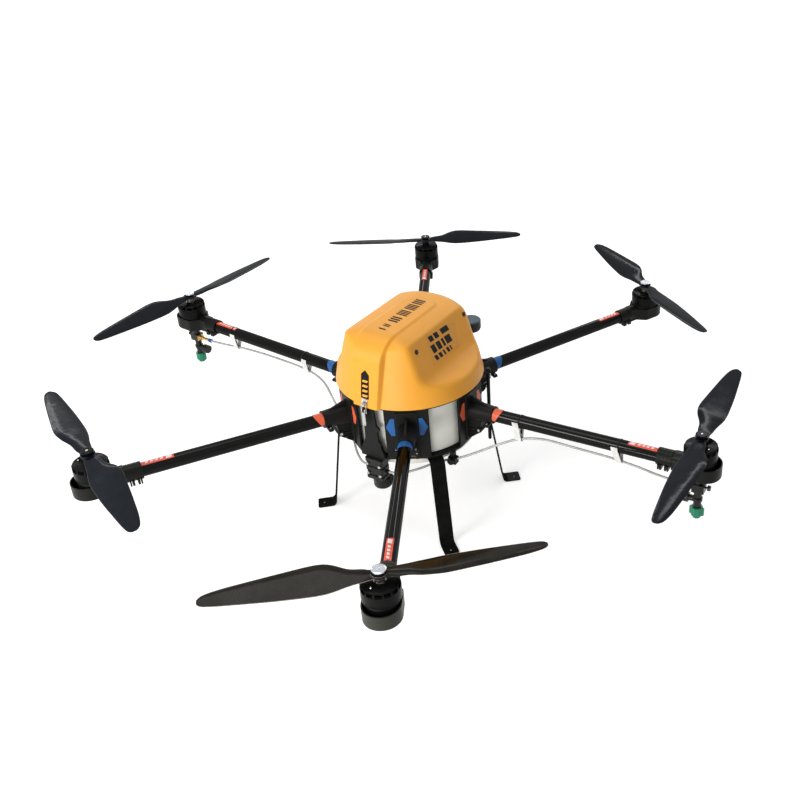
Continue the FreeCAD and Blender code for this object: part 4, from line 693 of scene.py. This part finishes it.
def tape_look():
    """White cloth tape: fine ribs and a few creases, greyer in their hollows as painted shade."""
    nodes = Nodes("white_tape")
    creases = nodes.between(nodes.noise(160.0, 3.0), 0.35, 0.7)
    ribs = nodes.add("ShaderNodeTexWave", Vector=nodes.place, Scale=500.0, Distortion=1.0)
    # grey in the creases' hollows: painted shade
    shade = nodes.mix(creases, (0.62, 0.62, 0.60), (0.84, 0.84, 0.82))
    nodes.set(Base_Color=shade, Roughness=nodes.between(creases, 0, 1, 0.5, 0.66),
              Normal=nodes.bump(ribs.outputs["Fac"], 0.0001, 0.5, nodes.bump(creases, 0.0006, 0.5)))
    return fixed(nodes, 0.3)


# ---- cover ----
def rounded_max(first, second, radius, cosine):
    """Distance outside two half spaces whose edge is rounded; cosine is between their normals."""
    first = first + radius
    second = second + radius
    spread = first ** 2 + second ** 2 - 2 * cosine * first * second
    corner = np.sqrt(np.maximum(spread, 0) / (1 - cosine ** 2))
    at_corner = (first > cosine * second) & (second > cosine * first)
    return np.where(at_corner, corner, np.maximum(first, second)) - radius


def smooth_max(first, second, width):
    near = np.maximum(width - np.abs(first - second), 0) / width
    return np.maximum(first, second) + near ** 2 * width / 4


def smooth_min(first, second, width):
    return -smooth_max(-first, -second, width)


def plane_through(x, z, low, high):
    """Distance outside the plane through two (x, z) points, its outside up and outwards."""
    run = high[0] - low[0]
    drop = low[1] - high[1]
    size = math.hypot(run, drop)
    return ((x - low[0]) * drop + (z - low[1]) * run) / size, (drop / size, run / size)


def cover_distance(x, y, z):
    """Distance outside the cover's skin, in millimetres."""
    side = np.abs(x)
    reach = np.hypot(x, y)
    lean = math.atan(cover_draft)
    rise = z - cover_rim
    wall = (reach - cover_rim_radius + rise * cover_draft) * math.cos(lean)
    flat = z - body_top
    front = (-y - cover_rim_radius + rise * cover_draft) * math.cos(lean)
    rear = rounded_max(wall, flat, rear_round, math.sin(lean))
    front = smooth_max(wall, rounded_max(front, flat, front_round, math.sin(lean)), band_blend)
    body = np.where(y < 0, front, rear)

    edge_z = body_top - shoulder_drop
    foot_z = body_top - panel_drop
    shoulder, up = plane_through(side, z, (shoulder_start, body_top), (shoulder_edge, edge_z))
    panel, out = plane_through(side, z, (shoulder_edge, edge_z), (panel_foot, foot_z))
    shelf, _ = plane_through(side, z, (panel_foot, foot_z),
                             (panel_foot + shelf_run, foot_z - shelf_fall))
    cosine = up[0] * out[0] + up[1] * out[1]
    kept = smooth_min(rounded_max(shoulder, panel, panel_fold, cosine), shelf, shelf_blend)
    body = smooth_max(body, kept, panel_blend)

    lean = math.atan(nose_draft)
    nose = (-y - nose_reach + rise * nose_draft) * math.cos(lean)
    crest = rounded_max(nose, z - cover_top, front_round, math.sin(lean))
    half_width = nose_half_width + nose_spread * np.clip(rise / (cover_top - cover_rim), 0, 1)
    over_x = side - half_width + nose_corner
    over_y = y - nose_back + nose_corner
    outside = np.hypot(np.maximum(over_x, 0), np.maximum(over_y, 0))
    outside = outside + np.minimum(np.maximum(over_x, over_y), 0) - nose_corner
    share = np.clip(-outside / nose_blend, 0, 1)
    share = share * share * (3 - 2 * share)
    return body + share * (crest - body)


def skin_distance(starts, ways, inset=0.0, far=400.0):
    """How far lines from inside the cover run before they leave its skin."""
    halvings = 28
    near = np.zeros(len(starts))
    far = np.full(len(starts), far)
    for _ in range(halvings):
        middle = (near + far) / 2
        outside = cover_distance(*(starts + ways * middle[:, None]).T) > -inset
        far = np.where(outside, middle, far)
        near = np.where(outside, near, middle)
    return near


def cover_skin(inset, rows, columns):
    """Points on the cover, or a wall's thickness inside it, in rows from the rim to the top."""
    turn = np.linspace(0, 2 * math.pi, columns, endpoint=False)
    lift = np.linspace(0, math.pi / 2, rows)
    lift, turn = (grid.ravel() for grid in np.meshgrid(lift, turn, indexing="ij"))
    ways = np.stack([np.cos(lift) * np.cos(turn), np.cos(lift) * np.sin(turn), np.sin(lift)], -1)
    starts = np.zeros_like(ways)
    starts[:, 2] = cover_rim
    return starts + ways * skin_distance(starts, ways, inset)[:, None]


def build_cover():
    columns = 720
    outer_rows = 170
    inner_rows = 60
    outer = cover_skin(0, outer_rows, columns)
    inner = cover_skin(cover_wall, inner_rows, columns)
    faces = grid_faces(outer_rows, columns, True)
    shift = len(outer)
    faces += [face[::-1] for face in grid_faces(inner_rows, columns, True, shift)]
    for column in range(columns):
        after = (column + 1) % columns
        faces.append((after, column, shift + column, shift + after))
    shell = piece("cover_shell", np.concatenate([outer, inner]), faces, orange_shell(), "cover")
    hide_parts("cover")


# ---- decals on the cover ----
def panel_frame(side):
    """Where a decal on a side panel starts, which way it goes to the skin, and its normal."""
    out = Vector((side * (panel_drop - shoulder_drop), 0, panel_foot - shoulder_edge)).normalized()
    return (lambda y, drop: (side * panel_cast, y, body_top - drop)), (side, 0, 0), out


def top_frame():
    return (lambda x, y: (x, y, cover_rim)), (0, 0, 1), Vector((0, 0, 1))


def nose_frame():
    out = Vector((0, -1, nose_draft)).normalized()
    return (lambda x, z: (x, -nose_cast, z)), (0, -1, 0), out


def skin_point(face, u, v):
    """The point of the cover's skin at a decal's two lengths."""
    start, way, _ = face
    origin = np.array([start(u, v)], float)
    ways = np.array([way], float)
    return Vector((origin + ways * skin_distance(origin, ways)[:, None])[0])


def standing(centre, out):
    """A frame at a point whose Z axis is the skin's normal."""
    return Matrix.Translation(centre) @ out.to_track_quat("Z", "Y").to_matrix().to_4x4()


def decal(name, corners, face, material, slot, lift=decal_lift, rows=2, columns=2,
          depth=decal_depth):
    """A thin patch with four corners on one of the cover's faces."""
    start, way, out = face
    starts = []
    for row in range(rows):
        for column in range(columns):
            s = column / (columns - 1)
            t = row / (rows - 1)
            shares = ((1 - s) * (1 - t), s * (1 - t), s * t, (1 - s) * t)
            u = sum(share * corner[0] for share, corner in zip(shares, corners))
            v = sum(share * corner[1] for share, corner in zip(shares, corners))
            starts.append(start(u, v))
    starts = np.array(starts)
    ways = np.tile(np.array(way, float), (len(starts), 1))
    skin = starts + ways * skin_distance(starts, ways)[:, None]
    front = skin + np.array(out) * lift
    back = front - np.array(out) * depth
    return thick_sheet(name, front, back, rows, columns, material, "cover", slot)


def slanted(start, end, low, high, slant, tilt=0.0):
    """Corners of a leaning bar between two lengths and two heights; tilt slopes its row."""
    fall = tilt * (end - start) / 2
    return [(start + slant, low - fall), (end + slant, low + fall),
            (end - slant, high + fall), (start - slant, high - fall)]


def build_panel_decals(ink, film):
    """A plain film patch with rows of leaning bars on each side panel."""
    tilt = 0.05
    # each row's middle below the body's top, half its height, and its bars' ends
    rows = ((36.0, 9.0, ((-56, -36), (-29, -9), (6, 44))),
            (66.0, 12.5, ((-58, -38), (-31, -11), (-3, 8), (14, 42))),
            (93.0, 8.0, ((-56, -42), (-35, -21), (-12, -4), (6, 18), (24, 30))))
    for side, word in ((1, "right"), (-1, "left")):
        face = panel_frame(side)
        plate = [(-66.5, 18), (82.5, 37), (67, 111), (-74.7, 106.5)]
        decal("panel_film_" + word, plate, face, film, "cover_shell", film_lift, 12, 12)
        for row, (middle, half, bars) in enumerate(rows):
            for number, (start, end) in enumerate(bars):
                centre = middle + tilt * (start + end) / 2
                corners = slanted(start, end, centre - half, centre + half, -bar_lean, tilt)
                decal("panel_bar_%s_%d_%d" % (word, row, number), corners, face, ink, "black_small")


def build_top_decals(ink):
    """Groups of plain cross bars along the top of the band."""
    inked = 0.62                  # share of a bar's pitch
    # each group's ends, half its width, and how many bars it has
    groups = ((60, 92, 18, 3), (20, 55, 19, 4), (-22, 12, 19, 4), (-67, -32, 17, 3),
              (-100, -84, 11, 2), (-120, -110, 12, 1))
    for group, (low, high, half, count) in enumerate(groups):
        pitch = (high - low) / count
        for number in range(count):
            foot = low + pitch * number
            corners = slanted(-half, half, foot, foot + pitch * inked, bar_lean)
            decal("top_bar_%d_%d" % (group, number), corners, top_frame(), ink, "black_small",
                  rows=3, columns=3)


def build_nose_decal(ink, pale):
    """Black strip with a pointed top and plain pale bars, over the latch."""
    face = nose_frame()
    half = 14
    foot = 506
    shoulder = 580
    tip = 593
    strip = [(-half, foot), (half, foot), (half, shoulder), (-half, shoulder)]
    point = [(-half, shoulder), (half, shoulder), (1, tip), (-1, tip)]
    decal("nose_strip", strip, face, ink, "black_small", rows=12, columns=3)
    decal("nose_point", point, face, ink, "black_small")
    for number in range(4):
        low = foot + 5 + 15.0 * number
        bar = slanted(-9, 9, low, low + 7, -bar_lean / 2)
        decal("nose_bar_%d" % number, bar, face, pale, "cover_shell", decal_lift + 0.2)


def build_plug_rings(material):
    """Countersunk rims round the cover's four plugs."""
    profile = [(7.6, -0.5), (7.7, 0.7), (8.4, 1.0), (9.6, 0.5), (10.6, -0.5)]
    for side, word in ((1, "right"), (-1, "left")):
        face = panel_frame(side)
        for number, y in enumerate(plug_ends):
            matrix = standing(skin_point(face, y, plug_drop), face[2])
            lathe("plug_ring_%s_%d" % (word, number), profile, matrix, material, "cover",
                  32)


def build_catch(steel):
    """Riveted striker plate on the nose, which the latch's bail hooks onto."""
    face = nose_frame()
    out = face[2]
    foot = [(-6.5, 488), (6.5, 488), (10.5, 496), (-10.5, 496)]
    top = [(-10.5, 496), (10.5, 496), (9.0, 505), (-9.0, 505)]
    for name, corners in (("catch_plate", foot), ("catch_plate_top", top)):
        decal(name, corners, face, steel, "steel", catch_lift, 4, 4, catch_depth)
    profile = [(2.9, -0.3), (2.8, 0.5), (2.2, 1.1), (1.2, 1.45), (0.05, 1.5)]
    for number, x in enumerate((-6.0, 6.0)):
        centre = skin_point(face, x, 500.5) + out * catch_lift
        lathe("catch_rivet_%d" % number, profile, standing(centre, out), steel, "cover",
              20)


# ---- hoses ----
right_route = [(46.3, -215, 243), (70, -215, 243), (99, -196, 247), (128, -167, 252),
               (153, -133, 257), (182, -103, 261), (220, -80, 266), (272, -60, 293),
               (330, -36, 326), (392, -12, 354), (466, -1, 369), (540, 1, 368),
               (612, 0, 371), (694, 0, 373), (764, 0, 369), (820, 0, 361)]
left_route = [(-30.3, -215, 243), (-54, -215, 243), (-84, -197, 247), (-116, -169, 252),
              (-147, -136, 257), (-180, -103, 261), (-220, -80, 266), (-268, -56, 284),
              (-312, -30, 307), (-352, -8, 334), (-402, 0, 355), (-472, 0, 366),
              (-552, -1, 371), (-642, 0, 373), (-730, 0, 370), (-806, 0, 362)]
lead_route = [(258, -26.8, 413), (265, -34, 400), (268, -35.5, 384), (263, -33, 369),
              (247, -23.2, 357)]
hose_routes = {1: right_route, 4: left_route}


def hose_end(number):
    return arm_matrix(number) @ Vector((-inlet_reach - 0.6, 0, inlet_z))


def cord(name, route, diameter, material, node_name):
    """A smooth cord along a route."""
    data = bpy.data.curves.new(name, "CURVE")
    data.dimensions = "3D"
    data.bevel_depth = diameter / 2 * MM
    data.bevel_resolution = 5
    data.resolution_u = 12
    data.use_fill_caps = True
    spline = data.splines.new("NURBS")
    spline.points.add(len(route) - 1)
    for point, place in zip(spline.points, route):
        point.co = (place[0] * MM, place[1] * MM, place[2] * MM, 1)
    spline.order_u = 3
    spline.use_endpoint_u = True
    data.materials.append(material)
    made = bpy.data.objects.new(name, data)
    link(made)
    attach(made, "frame")
    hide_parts(node_name)


def build_cords():
    """The spray hoses and the signal lead; the hoses' real lengths, in metres, are listed but not
    used.
    """
    hose = clear_hose()
    for number, word, length in ((1, "right", 0.913), (4, "left", 0.929)):
        route = hose_routes[number] + [hose_end(number)]
        cord("hose_" + word, route, hose_diameter, hose, "spray_hose_" + word)
    turn = Matrix.Rotation(2 * math.pi / arm_count, 4, "Z")
    cord("signal_wire", [turn @ Vector(p) for p in lead_route], lead_diameter,
         plastic("white_wire", WHITE, 0.4), "signal_lead")


def route_point(route, distance):
    """The point of a hose's route at a horizontal distance from the body's axis."""
    for first, second in zip(route, route[1:]):
        near = math.hypot(first[0], first[1])
        far = math.hypot(second[0], second[1])
        if near <= distance <= far:
            return Vector(first).lerp(Vector(second), (distance - near) / (far - near))
    return Vector(route[-1])


def build_tape(number, distance, material):
    """White tape that hangs from the sides of an arm tube and carries the hose."""
    hose = arm_matrix(number).inverted() @ route_point(hose_routes[number], distance)
    side = tube_radius + tie_thickness + tape_side_gap
    bend = hose_diameter / 2 + tie_slack + tie_thickness + tape_gap
    steps = 12
    columns = 5
    path = [(side, tape_top), (side, 0.0), (side * 0.97, -tape_top)]
    for step in range(steps + 1):
        turn = math.pi * step / steps
        path.append((hose.y + bend * math.cos(turn), hose.z - bend * math.sin(turn)))
    path += [(-y, z) for y, z in path[2::-1]]
    path = np.array(path)
    along = np.gradient(path, axis=0)
    along /= np.linalg.norm(along, axis=1)[:, None]
    outwards = np.stack([-along[:, 1], along[:, 0]], -1)
    sheets = []
    for shift in (tape_thickness, 0.0):
        points = []
        for (y, z), (out_y, out_z) in zip(path, outwards):
            lean = tape_lean * (z - hose.z) / -hose.z
            for column in range(columns):
                x = hose.x - lean + tape_width * (column / (columns - 1) - 0.5)
                point = Vector((x, y + out_y * shift, z + out_z * shift))
                points.append(arm_matrix(number) @ point)
        sheets.append(points)
    thick_sheet("tape_%d_%d" % (number, distance), *sheets, len(path), columns, material,
                "frame", "white_small")


# ---- trim on the arms and motors ----
def tube_patch(name, number, start, end, half_angle, lift, material, slot, lean=0.0):
    """A patch that lies on the top of an arm tube; lean slants its ends."""
    rows = 9
    columns = 2
    sheets = []
    for radius in (tube_radius + lift, tube_radius + lift - label_depth):
        points = []
        for row in range(rows):
            share = 2 * row / (rows - 1) - 1
            turn = half_angle * share
            for column in range(columns):
                x = start + (end - start) * column + lean * share
                point = Vector((x, radius * math.sin(turn), radius * math.cos(turn)))
                points.append(arm_matrix(number) @ point)
        sheets.append(points)
    thick_sheet(name, *sheets, rows, columns, material, "frame", slot)


def build_arm_label(number, red, white):
    """Red label with a plain white block and four small bars."""
    tube_patch("arm_label_%d" % number, number, label_start, label_end, label_half_angle,
               label_lift, red, "marker")
    tube_patch("arm_label_block_%d" % number, number, label_start + 5, label_start + 20,
               label_half_angle * 0.6, print_lift, white, "white_small", print_lean)
    for bar in range(4):
        start = label_start + 28 + 13 * bar
        tube_patch("arm_label_bar_%d_%d" % (number, bar), number, start, start + 8,
                   label_half_angle * 0.38, print_lift, white, "white_small", print_lean)


# a screw head's profile, as shares of its radius and its height
dome = [(1.0, 0.0), (0.98, 0.45), (0.85, 0.75), (0.55, 0.95), (0.3, 1.0), (0.28, 0.7),
        (0.02, 0.68)]


def screw_head(name, number, place, radius, height, material):
    """A domed screw head with a socket, which turns with a rotor."""
    profile = [(r * radius, h * height) for r, h in dome]
    matrix = arm_matrix(number) @ Matrix.Translation(place)
    lathe("%s_%d" % (name, number), profile, matrix, material, "rotor_%d" % number, 20)


def build_motor_trim(number, steel):
    screw_head("grub_screw", number, grub_place, 2.6, 1.6, steel)
    screw_head("cap_screw", number, cap_screw_place, 3.4, 1.8, steel)


# ---- inside the cover ----
def build_battery_strap(number, x, material):
    """Webbing over the battery and down its sides."""
    low, high = (Vector(corner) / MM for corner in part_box("battery"))
    gap = webbing_gap
    path = [(low.y - gap, low.z + 4), (low.y - gap, high.z - 6), (low.y + 1.5, high.z - 1),
            (low.y + 6, high.z + gap), (high.y - 6, high.z + gap), (high.y - 1.5, high.z - 1),
            (high.y + gap, high.z - 6), (high.y + gap, low.z + 4)]
    centre = np.array([(low.y + high.y) / 2, (low.z + high.z) / 2])
    columns = 3
    sheets = []
    for shift in (webbing_thickness, 0.0):
        points = []
        for y, z in path:
            way = np.array([y, z]) - centre
            way /= np.linalg.norm(way)
            for column in range(columns):
                across = x + webbing_width * (column / (columns - 1) - 0.5)
                points.append((across, y + way[0] * shift, z + way[1] * shift))
        sheets.append(points)
    thick_sheet("battery_strap_%d" % number, *sheets, len(path), columns, material, "frame",
                "black_small")


# ---- CAD nodes' finishes ----
def dress_nodes(steel):
    """Gives every CAD node that shows its finish."""
    black = plastic("black_plastic", BLACK, 0.42, wear=0.3, specular=0.12)
    frame_black = plastic("frame_plastic", FRAME_BLACK, 0.46, 0.00008, 0.2, wear=0.3,
                          specular=0.12)
    mount_black = plastic("mount_plastic", MOUNT_BLACK, 0.38, wear=0.2, specular=0.10, coat=0.02)
    # the front motor's mount is a lighter copy of the mount plastic: painted light
    painted_lit_mount = plastic("painted_lit_mount_plastic", PAINTED_LIT_MOUNT, 0.40, wear=0.2, specular=0.12)
    winding = plastic("stator_black", DEEP_BLACK, 0.5, specular=0.2)
    green = plastic("green_plastic", CAP_GREEN, 0.34, specular=0.4, variation=0.2)
    pump = split_look("pump_finish", "Y", pump_front - 0.2, STEEL, BLACK, True)
    catch = split_look("cover_fitting_finish", "Y", fitting_border, STEEL, CATCH_BROWN, True)
    puck = split_look("puck_finish", "Z", puck_border, BLACK, PUCK_BLUE)
    wrap = plastic("battery_wrap", BATTERY_BLUE, 0.36, 0.00002, 0.2, specular=0.3)
    finishes = {
        "arm_bracket": frame_black, "motor_mount": mount_black, "motor_mount_6": painted_lit_mount,
        "lower_frame_ring": frame_black, "upper_frame_plate": frame_black,
        "pump_bracket": frame_black, "spray_pump": pump, "motor_stators": winding,
        "tank_cap": black, "tank": tank_look(), "gps_puck": puck, "frame_screws": steel,
        "latch": steel, "cover_hinge": steel, "leg": leg_carbon(), "arm_markers": marker_look(),
        "nozzle_cap": green, "cover_fittings": catch, "battery": wrap,
    }
    numbered = {"arm_tube": tube_carbon, "rotor": rotor_look, "propeller": blade_carbon}
    nozzles = {"nozzle_right": 1, "nozzle_left": 4}
    for name, made in node.items():
        finish = black
        for prefix in sorted(finishes, key=len):
            if name.startswith(prefix):
                finish = finishes[prefix]
        for prefix, make in numbered.items():
            if name.startswith(prefix):
                finish = make(int(name[-1]))
        if name in nozzles:
            finish = nozzle_look(nozzles[name])
        made.data.materials.clear()
        made.data.materials.append(finish)


make_camera()
build_cords()
make_studio()
build_cover()
ink = plastic("decal_ink", INK, 0.5, specular=0.12)
film = plastic("decal_film", scaled(ORANGE, 0.90), 0.32, 0.00002, 0.03, specular=0.3)
shell_orange = plastic("trim_orange", ORANGE, 0.4, specular=0.4)
steel = metal("bright_steel")
build_panel_decals(ink, film)
build_top_decals(ink)
build_nose_decal(ink, shell_orange)
build_plug_rings(shell_orange)
build_catch(steel)
tape = tape_look()
for number, distances in tie_distances.items():
    for distance in distances:
        build_tape(number, distance, tape)
red = plastic("label_red", LABEL_RED, 0.36, specular=0.4)
white = plastic("label_white", WHITE, 0.4, specular=0.4)
for number in range(1, arm_count + 1):
    build_arm_label(number, red, white)
    build_motor_trim(number, steel)
webbing = plastic("strap_webbing", WEBBING, 0.7, 0.0003, 0.3)
for number, x in enumerate(webbing_places):
    build_battery_strap(number, x, webbing)
dress_nodes(steel)
